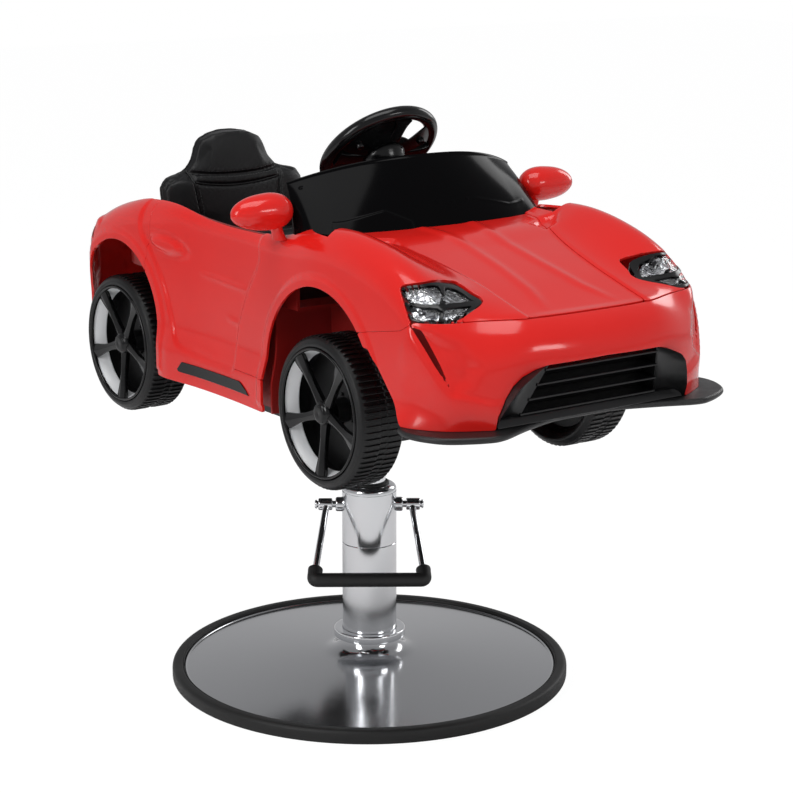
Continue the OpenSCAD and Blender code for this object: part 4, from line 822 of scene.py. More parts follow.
top = hole(skin[:, :2], top_hole, skin_z > high(.48))
arches = np.minimum(arch_distance(skin, front_arch), arch_distance(skin, rear_arch))
bumper = outline_distance(in_side_view, bumper_outline)
slant = hole(in_side_view, slant_outline, skin_y < -300)
lamp = hole(in_corner_view, lamp_outline, skin_y < -380)
slot = hole(in_corner_view, slot_outline, skin_y < -380)
mouth = hole(skin[:, [0, 2]], mouth_outline, skin_y < -400)
door = outline_distance(in_side_view, ahead_of_door)
crease = HALF * curve(crease_table, np.clip((skin_y + NOSE) / LENGTH, 0, 1)) - np.abs(skin_x)
crease = np.where(skin_z > high(.5), crease, -1e3)

# %% Cut the panels
# The hood's edge is turned in a little, which closes the view through its seam.
panel("hood_skin", "hood", least(crease, top, -bumper, -60 - skin_y), wall=7.0)
panel("bumper_skin", "front_bumper", least(bumper, arches, slant, lamp, slot, mouth))
for side, word in SIDES:
    own = side * skin_x
    ahead = np.maximum(np.minimum(-220 - skin_y, skin_z - high(.45)), door)
    panel("fender_skin_" + word, "fender_" + word, least(own, -crease, top, -bumper, arches, slant, lamp, ahead))
    panel("door_side_" + word, "side_" + word, least(own, top, arches, -door, skin_y - place(.447),
        QUARTER_FROM - skin_y, skin_z - SILL, -crease))
    panel("quarter_skin_" + word, "quarter_" + word,
        least(own, top, arches, skin_y - QUARTER_FROM, TAIL_FROM - skin_y, skin_z - LOW_EDGE))
from_strip = np.abs(skin_z - STRIP_Z)
panel("tail_skin", "tail_panel",
    least(skin_y - TAIL_FROM, arches, skin_z - LOW_EDGE, np.maximum(from_strip - 8, 421 - skin_y)))
panel("tail_lamp_strip", "tail_lamp", least(skin_y - 421.5, 7.6 - from_strip), paint=tail_red, seam=0.2, lift=0.2,
    wall=6.0)
for side, word in SIDES:
    panel("sill_stripe_" + word, "sill_strips", least(side * skin_x, outline_distance(in_side_view, sill_outline)),
        paint=gloss_pp, wall=1.2, edge=0.5, seam=0.0, lift=1.6)

# %% [markdown]
# ## The windscreen
# One wrapped sheet of gloss black ABS, from a squared-off foot to an arched top edge. Its top edge has a
# thin bead. The photograph shows a raised field low on one half, and a crease with three pips on the other.

# %% Windscreen
TOP_HALF, TOP_CORNER, TOP_BOW, TOP_HIGH, CORNER_DROP = 195.0, -81.0, 56.0, 355.0, 32.0
SINK, BULGE = 9.0, 3.0


def screen_sheet(q, v, grow):
    """The sheet at shares across and up it, moved outwards by grow."""
    x = q * (SCREEN_HALF + grow)
    y = SCREEN_FOOT - SCREEN_DEPTH * np.sqrt(np.maximum(0, 1 - np.abs(q) ** 3)) - grow
    s = (y + NOSE) / LENGTH
    hood, wing = high(curve(hood_table, s)), high(curve(wing_table, s))
    foot_z = hood + (wing - hood) * ease(HALF * curve(crease_table, s), HALF * 0.9, np.abs(x)) - SINK
    low = np.stack([x, y, foot_z], -1)
    top = np.stack([q * (TOP_HALF + grow), TOP_CORNER - grow - TOP_BOW * (1 - q * q),
        SILL + TOP_HIGH - CORNER_DROP * np.abs(q) ** 2.4 + grow], -1)
    bulge = BULGE * np.sin(np.pi * v)[..., None] * np.array([0, -0.7, 0.7])
    return low + (top - low) * v[..., None] + bulge


q, v = np.meshgrid(-np.cos(np.linspace(0, np.pi, 260)), np.linspace(0, 1, 90))
# The sheet laid flat, in millimetres, for what is pressed into it.
flat = np.stack([q * 200, v * 90], -1)
raised_field = [(-164, 18), (-89, 28), (-52, 13), (-50, -9), (-170, -9)]
emboss = 1.5 * ease(-1.2, 1.2, outline_distance(flat.reshape(-1, 2), raised_field))
crease_line, share = line_distance(flat.reshape(-1, 2), [(50, 31), (67, 31), (102, 25), (127, 20), (160, 22)])
emboss += 0.7 * np.exp(-((crease_line / 1.3) ** 2)) * ease(0, 0.3, share)
emboss = emboss.reshape(q.shape) + 1.3 * ease(0.955, 0.985, v)
for pip_x, pip_z, tall, wide in ((0, 30, 1.1, 1.5), (22.6, 30, 1.1, 1.5), (50, 31.5, 1.1, 1.5), (-186, 74, 1.6, 1.8)):
    emboss += tall * np.exp(-((np.hypot(flat[..., 0] - pip_x, flat[..., 1] - pip_z) / wide) ** 2))
outer = screen_sheet(q, v, 0.0)
out = normalised(np.cross(np.gradient(outer, axis=1), np.gradient(outer, axis=0)))
out[:, 0], out[:, -1] = out[:, 1], out[:, -2]
screen_shape = two_sheets(outer + out * emboss[..., None], screen_sheet(q, v, -WALL))
screen = dressed(piece("windscreen_shell", *screen_shape, "car", piano_abs, sharp=50), "windscreen")
print("windscreen", len(screen.data.polygons), "faces")

# %% [markdown]
# ## Lamps
# Each lamp is a black cup with a cross over it. A faceted reflector lies behind each of the four windows,
# and a clear cover closes each one. The strip across the tail is red acrylic.

# %% Lamps
FRAME_RIM, HALF_CROSS = 4.6, 2.9  # the cup's border, and half the width of the cross's bars
cross = [scaled([(-.44, .85), (-.415, .65)]), scaled([(-.2, .752), (-.66, .737)])]
inside = np.where(skin_y < -380, outline_distance(in_corner_view, lamp_outline), -1e3)
bars = np.minimum(*[line_distance(in_corner_view, bar)[0] for bar in cross])
window = least(inside - FRAME_RIM, bars - HALF_CROSS)
bowl = -16 + 9 * np.exp(-np.maximum(0, window) / 5)
for side, word in SIDES:
    own = side * skin_x
    panel("lamp_frame_" + word, "lamp_" + word, least(inside, -window, own), paint=gloss_pp, seam=0.4, wall=15.0,
        lift=-1.2)
    panel("lamp_reflector_" + word, None, least(inside - 4, own), paint=facet_mirror, seam=0, edge=0.3, wall=1.0,
        lift=bowl[:, None])
    panel("lamp_cover_" + word, "lens_" + word, least(window, own), paint=clear_cover, seam=0.1, edge=0.3, wall=1.2,
        lift=-2.4)
print("lamps made")

# %% [markdown]
# ## Mirrors
# Each mirror is a red egg on a short stalk. Its underside is a little flatter, a crease runs round its
# middle, and a mirror is let into the side that faces the driver.

# %% Mirrors
POD_X, POD_Y, POD_Z = 252.0, -105.0, high(1.032)


def mirror_shape(side):
    """The egg and its stalk."""
    rings = []
    for c in np.cos(np.linspace(0, np.pi, 44)) * 0.999:
        f = math.sqrt(max(0, 1 - abs(c) ** 2.5)) * (1 - 0.17 * c)
        y, z = circle(56)
        z = np.where(z < 0, z * 0.93, z)
        bead = 1 + 0.022 * np.exp(-((z + 0.45) / 0.07) ** 2)
        y = np.minimum(y, 0.8)
        rings.append(np.stack([POD_X + c * 48 + 0 * y, POD_Y + f * 25 * y * bead, POD_Z + f * 26 * z * bead], 1))
    stalk = []
    for t in np.linspace(0, 1, 10):
        wide = 7.8 + 2.4 * (1 - t) ** 3 + 2.0 * t ** 4
        x, y = circle(28)
        stalk.append(np.stack([223 + 8.5 * t + wide * x, POD_Y + wide * 1.15 * y, high(.89) + 28 * t + 0 * x], 1))
    points, faces = join_shapes([loft(rings[::-1]), loft(stalk)])
    return points * [side, 1, 1], faces if side > 0 else flipped(faces)


across, up = [np.abs(w) ** 0.9 * np.sign(w) for w in circle(64)]
for side, word in SIDES:
    stands_for(piece("mirror_pod_" + word, *mirror_shape(side), "car", red_abs, sharp=40), "mirror_" + word)
    rings = [[(side * (POD_X - 3 + k * 34 * cx), POD_Y + y, POD_Z + k * 18 * cz) for cx, cz in zip(across, up)]
        for k, y in ((1.0, 18.5), (1.0, 20.2), (0.975, 20.6))]
    glass = piece("mirror_glass_" + word, *loft(rings), "car", mirror_glass, sharp=30)
    tidy(glass)
print("mirrors made")

# %% [markdown]
# ## Grille and splitter
# The grille is one black moulding that leans forwards: a backing wall, four thin bars with rounded noses,
# a low lip and a hollow cheek at both ends. The splitter is a flat blade with a round edge.

# %% Grille
low_z, top_z = high(.19) + 0.3, high(.483) - 0.3
front_y = BEFORE_AXLE - 0.875 * (NOSE + BEFORE_AXLE)


def grille_place(share):
    """The bars' front line and height at a share of the way up, and half of their width there."""
    return front_y - 34 * share, low_z + (top_z - low_z) * share, HALF * (0.49 - 0.11 * share)


def bar(section, half):
    """A bar across the car from a section of (y, z) points."""
    return loft([[(x, y, z) for y, z in section] for x in np.linspace(-half, half, 25)])


shapes = []
for i in range(4):
    share = 0.15 + 0.25 * i
    y, z, half = grille_place(share)
    nose = rounded([(y + 27, z - 4.6), (y + 27, z + 4.6), (y + 1, z + 0.9), (y, z - 1.8)], 1.4, 4, closed=True)
    shapes.append(bar(nose[::-1], half + 2))
y0, y1 = grille_place(0)[0], grille_place(1)[0]
shapes.append(bar([(y0 + 26, low_z), (y0 + 30, low_z), (y1 + 30, top_z), (y1 + 26, top_z)], 150))
foot_y, foot_z, _ = grille_place(0.15)
lip = rounded([(y0 - 13, low_z), (y0 + 27, low_z), (foot_y + 27, foot_z - 2), (foot_y, foot_z - 2)], 2.0, 4,
    closed=True)
shapes.append(bar(lip, 158))
dressed(piece("grille_bars", *join_shapes(shapes), "car", satin_pp, sharp=35), "grille")
mouth_x, mouth_z = zip(*scaled(mouth_half))
for side, word in SIDES:
    rings = []
    for share in np.linspace(0, 1, 26):
        y, z, inner = grille_place(share)
        outer = max(inner + 0.5, np.interp(z, mouth_z, mouth_x) - 0.6)
        deep = min(1, (outer - inner) / 32)
        ring = []
        for t in np.linspace(0, 1, 15):
            hollow = 9 * abs(math.sin(math.pi * t)) ** 0.8
            ring.append((inner + (outer - inner) * t, y + 2 + deep * (hollow - 15 * t ** 1.4), z))
        rings.append(ring + [(outer, y + 28, z), (inner, y + 28, z)])
    rings = np.array(rings) * [side, 1, 1]
    cheek = piece("grille_cheek_" + word, *loft(rings if side < 0 else rings[:, ::-1]), "car", satin_pp, sharp=40)
    tidy(cheek)

# %% Splitter
split_shares = [(0, .86), (.22, .866), (.48, .93), (.68, .99), (.8, .985), (.98, .915), (1.06, .83), (1.09, .74),
    (1.07, .66), (1.02, .63), (.9, .66)]
half_line = smooth_line([(x * HALF, BEFORE_AXLE - s * (NOSE + BEFORE_AXLE)) for x, s in split_shares], 8)
outline = np.concatenate([half_line, half_line[:0:-1] * [-1, 1]])
ahead = np.roll(outline, -1, axis=0) - np.roll(outline, 1, axis=0)
outward = normalised(np.stack([ahead[:, 1], -ahead[:, 0]], 1))
# A small step outwards has to leave the outline.
if outline_distance(outline[3:4] + outward[3:4] * 0.5, outline)[0] > 0:
    outward = -outward
ROUND = 4.5  # half of the blade's thickness
rings = []
for a in np.radians(np.linspace(-90, 90, 11)):
    flat_ring = outline - outward * ROUND * (1 - math.cos(a))
    rings.append(np.column_stack([flat_ring, np.full(len(flat_ring), high(.19) - ROUND + ROUND * math.sin(a))]))
dressed(piece("splitter_blade", *loft(rings), "car", grained_pp, sharp=50), "splitter")
print("grille and splitter made")

# %% [markdown]
# ## Wheels
# The tyre, its web and the hub are blown in one from black HDPE. Cross ribs run round the tread, which
# Geometry Nodes repeat about the axle. Inside the rim sits a silver ring, and before it the wheel cover:
# a thin lip, five tapered spokes with a ridge, and a small cap.

# %% Repeating shapes by Geometry Nodes
def node_group(name, socket, kind):
    """A group that takes a mesh and one value: its tree, its input node and the value's identifier."""
    tree = bpy.data.node_groups.new(name, "GeometryNodeTree")
    tree.interface.new_socket("Geometry", in_out="INPUT", socket_type="NodeSocketGeometry")
    value = tree.interface.new_socket(socket, in_out="INPUT", socket_type=kind)
    tree.interface.new_socket("Geometry", in_out="OUTPUT", socket_type="NodeSocketGeometry")
    return tree, tree.nodes.new("NodeGroupInput"), value.identifier


def run_group(name, points, edges, faces, tree, copies, material, socket, value):
    """The mesh that a group's copies, painted, make of a plain mesh."""
    real = add(tree, "GeometryNodeRealizeInstances", [(copies.outputs[0], 0)])
    painted = add(tree, "GeometryNodeSetMaterial", [(real.outputs[0], 0)])
    painted.inputs["Material"].default_value = material
    tree.links.new(painted.outputs[0], tree.nodes.new("NodeGroupOutput").inputs[0])
    mesh = bpy.data.meshes.new(name)
    mesh.from_pydata(points, edges, faces)
    obj = bpy.data.objects.new(name, mesh)
    bpy.context.collection.objects.link(obj)
    modifier = obj.modifiers.new("repeat", "NODES")
    modifier.node_group = tree
    modifier[socket] = value
    made = bpy.data.meshes.new_from_object(obj.evaluated_get(bpy.context.evaluated_depsgraph_get()))
    obj.modifiers.clear()
    obj.data = made
    return obj


def repeated(name, points, faces, count, material):
    """A shape's points and faces, repeated about the X axis."""
    tree, given, socket = node_group(name + "_ring", "Count", "NodeSocketInt")
    spots = add(tree, "GeometryNodePoints", [(given.outputs["Count"], "Count")])
    index = add(tree, "GeometryNodeInputIndex")
    share = add(tree, "ShaderNodeMath", [(index.outputs[0], 0), (given.outputs["Count"], 1)], operation="DIVIDE")
    angle = add(tree, "ShaderNodeMath", [(share.outputs[0], 0)], operation="MULTIPLY")
    angle.inputs[1].default_value = 2 * math.pi
    about = add(tree, "ShaderNodeCombineXYZ", [(angle.outputs[0], "X")])
    rotation = add(tree, "FunctionNodeEulerToRotation", [(about.outputs[0], 0)])
    copies = add(tree, "GeometryNodeInstanceOnPoints", [(spots.outputs[0], "Points"),
        (given.outputs["Geometry"], "Instance"), (rotation.outputs[0], "Rotation")])
    points = np.asarray(points, float).tolist()
    obj = run_group(name, points, [], [tuple(f) for f in faces], tree, copies, material, socket, count)
    shape = np.array([w.co[:] for w in obj.data.vertices]), [tuple(f.vertices) for f in obj.data.polygons]
    bpy.data.objects.remove(obj)
    return shape


def spun(profile, segments=144):
    """A lathe about the X axis, from (radius, x) points."""
    points, faces = lathe(profile, segments)
    return np.stack([points[:, 2], points[:, 1], -points[:, 0]], 1), faces


# %% Wheel shapes, drawn with the outer face at x = 0
shoulder = [(91.6, -1.2), (93, -0.3), (97, 0.0), (99.5, -1.6), (101.5, -2.4), (104, -5.5), (105.0, -8.5),
    (104.6, -9.6), (104.8, -11)]
tread_profile = [(17, -74), (17, -51), (80, -51), (86, -66), (95, -74), (98, -74), (104.6, -68), (104.8, -66),
    (104.8, -44), (103.4, -43), (103.4, -34), (104.8, -33), *shoulder[::-1], (91.2, -3), (91.2, -46), (17, -46),
    (17, -24), (6.1, -24), (6.1, -74)]
ring_profile = [(90.8, -5.2), (90.8, -25), (82.5, -25), (82.0, -23.4), (88.6, -5.2)]
lip_profile = [(86.4, -4.0), (90.9, -4.7), (90.9, -0.4), (89.4, 1.3), (87.6, 1.0), (86.4, -1.2)]
hub_profile = [(6.1, -24), (17, -24), (17, -9), (15.5, -5.5), (13.5, -4.2), (12.2, -1.6), (9, -0.9), (0, -0.9),
    (0, -7), (6.1, -7)]


def wheel_lathed(profile, radius, steps):
    """A closed outline of (radius, x) points, clockwise, with its corners rounded, turned about the axle."""
    return spun(rounded(profile, radius, steps, closed=True)[::-1])


def rib_shape():
    """One cross rib of the tread: a low block with a slanted shoulder, at the top of the wheel."""
    rings = []
    for x, r, half in ((-67.5, 105.2, 2.1), (-65, 106.8, 1.9), (-46, 107, 1.9), (-44, 105.4, 1.9), (-33, 105.4, 1.9),
            (-31, 107, 1.9), (-12, 107, 1.9), (-8.4, 106.2, 2.1), (-5.4, 103.6, 2.3)):
        flank = [(half + 0.6, r - 4), (half, r - 0.4), (half - 0.4, r)]
        rings.append([(x, -y, z) for y, z in flank] + [(x, y, z) for y, z in flank[::-1]])
    return loft(rings)


def spoke_shape():
    """One spoke along +Z: a blade with a ridge, wide at the rim and falling back to the hub."""
    rings = []
    for t in np.linspace(0, 1, 15):
        r = 9 + t * 79
        wide = 8.4 - 2.6 * math.sin(math.pi * min(1, t * 1.1)) + 2.6 * ease(0.55, 1, t)
        face = -9.8 + 7.4 * t ** 1.5
        ridge = 2.0 + 1.6 * (1 - t)
        back = face - 8.0 + 1.2 * t
        half = [(face + ridge, 0.7), (face, wide), (face - 1.6, wide + 0.5), (back, wide - 1.0)]
        ring = [(x, y, r) for x, y in half] + [(x, -y, r) for x, y in half[::-1]]
        rings.append(ring[-2:] + ring[:-2])
    return loft(rings)


pin = [[(x, 21.5 + r * cos, r * sin) for cos, sin in zip(*circle(14))]
    for x, r in ((-46, 2.6), (-43.2, 2.6), (-42.6, 2.0))]
ribs = repeated("tread_rib", *rib_shape(), 72, wheel_hdpe)
star = repeated("spoke", *spoke_shape(), 5, gloss_pp)
# Half a turn about X stands one spoke straight down, as in the photograph.
star = (star[0] * [1, -1, -1], star[1])
pins = repeated("hub_pin", *loft(pin), 5, wheel_hdpe)
wheel_parts = [("tyre", join_shapes([wheel_lathed(tread_profile, 1.4, 2), ribs, pins]), wheel_hdpe),
    ("barrel", wheel_lathed(ring_profile, 0.6, 3), silver_abs),
    ("cover", join_shapes([wheel_lathed(lip_profile, 0.9, 3), wheel_lathed(hub_profile, 0.7, 2), star]), gloss_pp)]
for axle, y in (("front", BEFORE_AXLE), ("rear", AFTER_AXLE)):
    for side, word in SIDES:
        where = axle + "_" + word
        for part, (points, faces), paint in wheel_parts:
            moved = points * [side, 1, 1] + [side * HALF, y, AXLE_Z]
            dressed(piece(part + "_" + where + "_skin", moved, faces if side > 0 else flipped(faces),
                "wheel_" + where, paint, sharp=32), part + "_" + where)
print("wheel faces", sum(len(p[1][1]) for p in wheel_parts) * 4)

# %% [markdown]
# ## Base and pump
# A steel disc lies under a cover of polished stainless sheet, with a rubber ring round its edge. A chromed
# tube stands on the cover behind a collar. The pump's head carries the lugs of the pedal, and the car rides
# on the piston rod. All of these but the steel disc, which stays as the CAD has it, are lathed, with the small
# roundings that catch the light.

# %% Base and pump
def bow(a, b, c, n=10):
    """A curve from a to c that leaves and arrives along the lines to b."""
    a, b, c = np.array(a, float), np.array(b, float), np.array(c, float)
    return [tuple(a * (1 - t) ** 2 + 2 * b * t * (1 - t) + c * t * t) for t in np.linspace(0, 1, n)]


def framed(points, turn_by, origin, tilt):
    """Points tilted about X, moved, then turned about Z. The angles are in degrees."""
    p, t, w = np.asarray(points, float), math.radians(tilt), math.radians(turn_by)
    x = p[:, 0] + origin[0]
    y = p[:, 1] * math.cos(t) - p[:, 2] * math.sin(t) + origin[1]
    z = p[:, 1] * math.sin(t) + p[:, 2] * math.cos(t) + origin[2]
    return np.stack([x * math.cos(w) - y * math.sin(w), x * math.sin(w) + y * math.cos(w), z], 1)


PIVOT = (0, 0, 266)
PEDAL_TURN, PEDAL_TILT = -35, 35  # the pedal's direction round the pump and its slope, in degrees
cover_profile = ([(287, 6), (287, 12.8)] + bow((286.6, 13.6), (284.6, 17.4), (282.4, 14.5), 9)
    + bow((281.5, 14.6), (180, 26.5), (76, 34.8), 24)[1:] + bow((76, 34.8), (48, 37), (43.8, 58), 16)[1:]
    + [(41.8, 58)] + bow((41.8, 52), (46, 35), (76, 32.8), 12) + [(285, 12), (285, 6)])
ring_edge = ([(287, 0), (302.8, 0)] + bow((302.8, 0), (305, 0.2), (305, 2.6), 4)
    + bow((305, 13), (305, 19.6), (298, 20), 8) + bow((291, 20), (289.4, 20), (289, 18.6), 4) + [(288.2, 18.4)]
    + bow((287.9, 19), (287.3, 19.9), (286.8, 18.6), 4)
    + [(286.8, 14.02), (287, 14)])
collar_profile = ([(41.6, 58)] + bow((54, 58), (55, 58), (55, 59.2), 4) + bow((55, 66.6), (55, 70), (51.6, 70), 8)
    + bow((43.4, 70), (41.8, 70), (41.6, 68.6), 4))
tube_profile = [(37.5, 6), (41.5, 6), (41.5, 207.1), (40.8, 207.9), (37.5, 207.9)]
head_profile = ([(37.5, 208), (40.8, 208), (41.5, 208.8), (41.5, 288.4), (40.5, 288.9), (40.5, 290.1), (41.5, 290.6)]
    + [(32.5 + 9 * math.cos(a), 291 + 9 * math.sin(a)) for a in np.radians(np.linspace(4, 90, 9))]
    + [(26.4, 300), (25.6, 299.4), (25.6, 240), (37.5, 240)])
seal_profile = rounded([(25.2, 300), (30.4, 300), (30.4, 302.4), (27.6, 304), (25.2, 303.4)], 0.8, 3, closed=True)
rod_profile = [(0, 120), (24, 120), (25, 121), (25, 402.8), (24, 404), (15, 404), (15, 425.2), (14, 426), (0, 426)]
lathed = [("cover_dome", "base_cover", cover_profile, "base", polished),
    ("edge_ring", "base_ring", ring_edge, "base", base_rubber),
    ("collar_flange", "collar", collar_profile, "base", chrome),
    ("tube_shell", "column_tube", tube_profile, "base", tube_chrome),
    ("seal_ring", "ram_seal", seal_profile, "base", base_rubber),
    ("rod_shaft", "piston_rod", rod_profile, "ram", chrome)]
for name, node, profile, body, paint in lathed:
    dressed(piece(name, *lathe(profile, 192), body, paint, sharp=30), node)
lug = spun([(0, 30), (11, 30)] + bow((11, 48), (11, 51.3), (8.4, 51.4), 5) + [(5.1, 51.4), (5.1, 79.6)]
    + bow((6.8, 79.8), (6.9, 83), (4.4, 83), 5) + [(0, 83)], 64)
lugs = [(framed(lug[0] * [side, 1, 1], PEDAL_TURN, PIVOT, 0), flipped(lug[1]) if side > 0 else lug[1])
    for side in (1, -1)]
dressed(piece("head_casting", *join_shapes([lathe(head_profile, 192), *lugs]), "base", tube_chrome, sharp=30),
    "pump_head")
print("lathed", len(lathed) + 1, "pieces")

# %% [markdown]
# ## Pedal
# Two chromed rods hang from eyes on the pump's pivot pins. A rubber sleeve joins them, and its ends turn up
# round the rods and swell into a ball.

# %% Pedal
def tube(path, radius, segments=28):
    """A round tube along a path, with one radius or one for each point."""
    path = np.asarray(path, float)
    radius = np.broadcast_to(np.asarray(radius, float), len(path))
    way = np.gradient(path, axis=0)
    way /= np.linalg.norm(way, axis=1, keepdims=True)
    side = np.cross(way[0], (0, 0, 1) if abs(way[0][2]) < 0.9 else (1, 0, 0))
    a = np.linspace(0, 2 * np.pi, segments, endpoint=False)[:, None]
    rings = []
    for p, w, r in zip(path, way, radius):
        side = side - w * side.dot(w)
        side /= np.linalg.norm(side)
        rings.append(p + r * (np.cos(a) * side + np.sin(a) * np.cross(w, side)))
    return loft(rings)


def pedal_place(shape):
    return framed(shape[0], PEDAL_TURN, PIVOT, PEDAL_TILT), shape[1]


lean = math.radians(6.93)  # how far each rod spreads outwards
eye_profile = [(5.3, 56.2), (8.2, 56.2), (9.2, 57.4)] + bow((9.2, 75.4), (9.2, 77.5), (7.4, 77.6), 5) + [(5.3, 77.6)]
eye_points, eye_faces = spun(eye_profile, 72)
for side, word in SIDES:
    start, along = np.array([side * 65.0, 0, 0]), np.array([side * math.sin(lean), -math.cos(lean), 0])
    rod = tube([start + along * s for s in (4, 8, 10, 13, 40, 90, 136.4)], [5.6, 6.2, 5.6, 5, 5, 5, 5])
    arm = pedal_place(join_shapes([(eye_points * [side, 1, 1], eye_faces), rod]))
    dressed(piece("pedal_rod_" + word, *arm, "pedal", chrome, sharp=35), "pedal_arm_" + word)
corner = np.array([82.5, -143.94, 0])
up_arm = np.array([-math.sin(lean), math.cos(lean), 0])
half_path = [corner + up_arm * s for s in (22.4, 22.2, 21.6, 20.2, 17.5, 14.5)]
bend = rounded([corner + up_arm * 14.5, corner, corner - [22, 0, 0]], 13.5, 12)[1:]
half_path = np.array(half_path + list(bend))
sleeve_radius = np.concatenate([[5.05, 7.6, 9.6, 11.0, 11.2, 10.8], np.full(len(bend), 10.5)])
rest_of = np.linspace(half_path[-1][0] - 8, -half_path[-1][0] + 8, 14)
middle = [(x, corner[1], 0) for x in rest_of]
path = np.concatenate([half_path, middle, half_path[::-1] * [-1, 1, 1]])
sleeve = tube(path, np.concatenate([sleeve_radius, np.full(len(middle), 10.5), sleeve_radius[::-1]]), 40)
dressed(piece("pedal_sleeve", *pedal_place(sleeve), "pedal", base_rubber, sharp=50), "pedal_grip")
print("pedal made")

# %% [markdown]
# ## Steering wheel
# The wheel is one black moulding with a thick round rim, a dished web with three spokes and a bell behind
# its hub. The photograph looks at its back, where two screw bosses and the sleeve of the shaft show, and a
# window in the web. The horn's button sits in the middle.

# %% Steering wheel and horn
HUB, RAKE = (0, -27, 811), -44  # the rim's centre, and how far the wheel leans back, in degrees


def steer_place(shape):
    return framed(shape[0], 0, HUB, RAKE), shape[1]


rim = lathe([(83 + 10 * cos, 10 * sin) for cos, sin in zip(*circle(32))], 160)
hub = lathe([(0, -44), (8, -44)] + bow((13.6, -43.6), (24, -38), (30.5, -24.6), 12)
    + bow((31.4, -23), (33.4, -19), (33, -15), 5) + bow((33, -11), (31, -8.1), (27, -8), 6)
    + bow((19.6, -8), (17.5, -8), (17.4, -9.4), 4) + [(17.4, -12.8), (0, -12.8)], 96)


def web_shape():
    """The dished web between hub and rim, with a window in it that reaches the rim."""
    rings = []
    for a in np.linspace(0, 2 * np.pi, 181):
        turn = (math.degrees(a) - 295 + 180) % 360 - 180
        out = 78 - 33 * ease(20, 13, abs(turn))
        r = np.linspace(24, out, 9)
        back = -18 + 11 * ((r - 24) / 54) ** 1.4
        z = np.concatenate([back, [back[-1] + 1.2], (back + 2.4)[::-1]])
        r = np.concatenate([r, [out + 0.8], r[::-1]])
        rings.append(np.stack([r * math.cos(a), r * math.sin(a), z], 1))
    return loft(rings, closed_ends=False)


blades = []
for way in (0, 180, 270):
    rings = []
    for t in np.linspace(0, 1, 13):
        r = 18 + t * 60
        rise = 4.2 * max(0, (r - 27) / 54) ** 1.2
        half = 10.2 + 1.2 * (1 - t) ** 3 + 4.2 * max(0, t - 0.72) ** 2 / 0.08
        low, tall = -17.2 + rise, -8.4 + rise
        section = rounded([(-half, low), (half, low), (half - 1.6, tall), (-half + 1.6, tall)], 3.2, 4, closed=True)
        rings.append([(r, y, z) for y, z in section])
    points, faces = loft(rings)
    blades.append((framed(points, way, (0, 0, 0), 0), faces))
boss, boss_faces = lathe([(0, -19.2), (2.0, -19.2), (2.2, -20.4), (4.6, -20.4), (5.4, -19.4), (5.6, -14),
    (0, -14)], 32)
bosses = [(boss + [x, -29, 3.5], boss_faces) for x in (-54, 54)]
wheel_shape = join_shapes([rim, hub, web_shape(), *blades, *bosses])
dressed(piece("wheel_moulding", *steer_place(wheel_shape), "steering", gloss_pp, sharp=40), "steering_wheel")
boot = lathe([(7.2, -64), (15.4, -64), (15.4, -61)] + bow((14.2, -60), (10.6, -52), (10.4, -44.1), 8)
    + [(7.2, -44.1)], 64)
boot = piece("shaft_sleeve", *steer_place(boot), "steering", satin_pp, sharp=40)
tidy(boot)
button = lathe([(0, -10), (16.2, -10), (16.8, -9.4), (16.8, -5.6)] + bow((16.8, -5.2), (16.2, -2.6), (11, -2.2), 7)
    + [(0, -2)], 96)
dressed(piece("horn_cap", *steer_place(button), "horn", satin_pp, sharp=40), "horn_button")
print("steering wheel made")

# %% [markdown]
# ## Seat
# The cushion and the backrest are foam in a leatherette skin. Each starts a little too small, is remeshed,
# and is blown up by cloth simulation with a cap on how far it may swell. The seams come after that: grooves
# are pressed along them, a piping lies in the outer ones, and stitches run beside them.

# %% Stuffing and seams
SEAT_Z, SWELL = 614.3, 5.0  # where the pads rest, and the most that a point may move when they swell


def stuffed(name, front, rear, voxel=5.0, levels=2):
    """A closed pad from two sheets of points in millimetres, swelled by cloth and made finer."""
    pad = piece(name, *two_sheets(front, rear), "car", leatherette)
    tidy(pad)
    voxels = pad.modifiers.new("voxels", "REMESH")
    voxels.mode, voxels.voxel_size, voxels.use_smooth_shade = "VOXEL", voxel * MM, True
    bake(pad)
    before = points_of(pad)
    cloth = pad.modifiers.new("cloth", "CLOTH")
    cloth.settings.use_pressure = True
    cloth.settings.uniform_pressure_force = 4.0
    cloth.settings.effector_weights.gravity = 0.0
    cloth.point_cache.frame_start, cloth.point_cache.frame_end = 1, 20
    for frame_number in range(1, 21):
        bpy.context.scene.frame_set(frame_number)
    swelled = pad.evaluated_get(bpy.context.evaluated_depsgraph_get())
    move = points_of(swelled) - before
    pad.modifiers.remove(cloth)
    bpy.context.scene.frame_set(1)
    far_out = np.linalg.norm(move, axis=1, keepdims=True)
    put_points(pad, before + move * np.minimum(1, SWELL / np.maximum(far_out, 1e-9)))
    print(name, "swelled by", round(float(np.minimum(far_out, SWELL).mean()), 2), "mm on average")
    finer = pad.modifiers.new("finer", "SUBSURF")
    finer.levels = finer.render_levels = levels
    bake(pad)
    return pad


def bake(obj):
    """Replaces a piece's mesh by the one its modifiers give, and drops them."""
    result = bpy.data.meshes.new_from_object(obj.evaluated_get(bpy.context.evaluated_depsgraph_get()))
    obj.modifiers.clear()
    result.name = obj.name
    obj.data = result
    result.shade_smooth()


def points_of(obj):
    return np.array([v.co[:] for v in obj.data.vertices]) / MM


def put_points(obj, points):
    obj.data.vertices.foreach_set("co", (np.asarray(points) * MM).ravel())
    obj.data.update()


def press(obj, depth):
    """Moves points inwards along their normals by depth(points, normals) millimetres."""
    points = points_of(obj)
    outward = np.array([v.normal[:] for v in obj.data.vertices])
    put_points(obj, points - outward * depth(points, outward)[:, None])


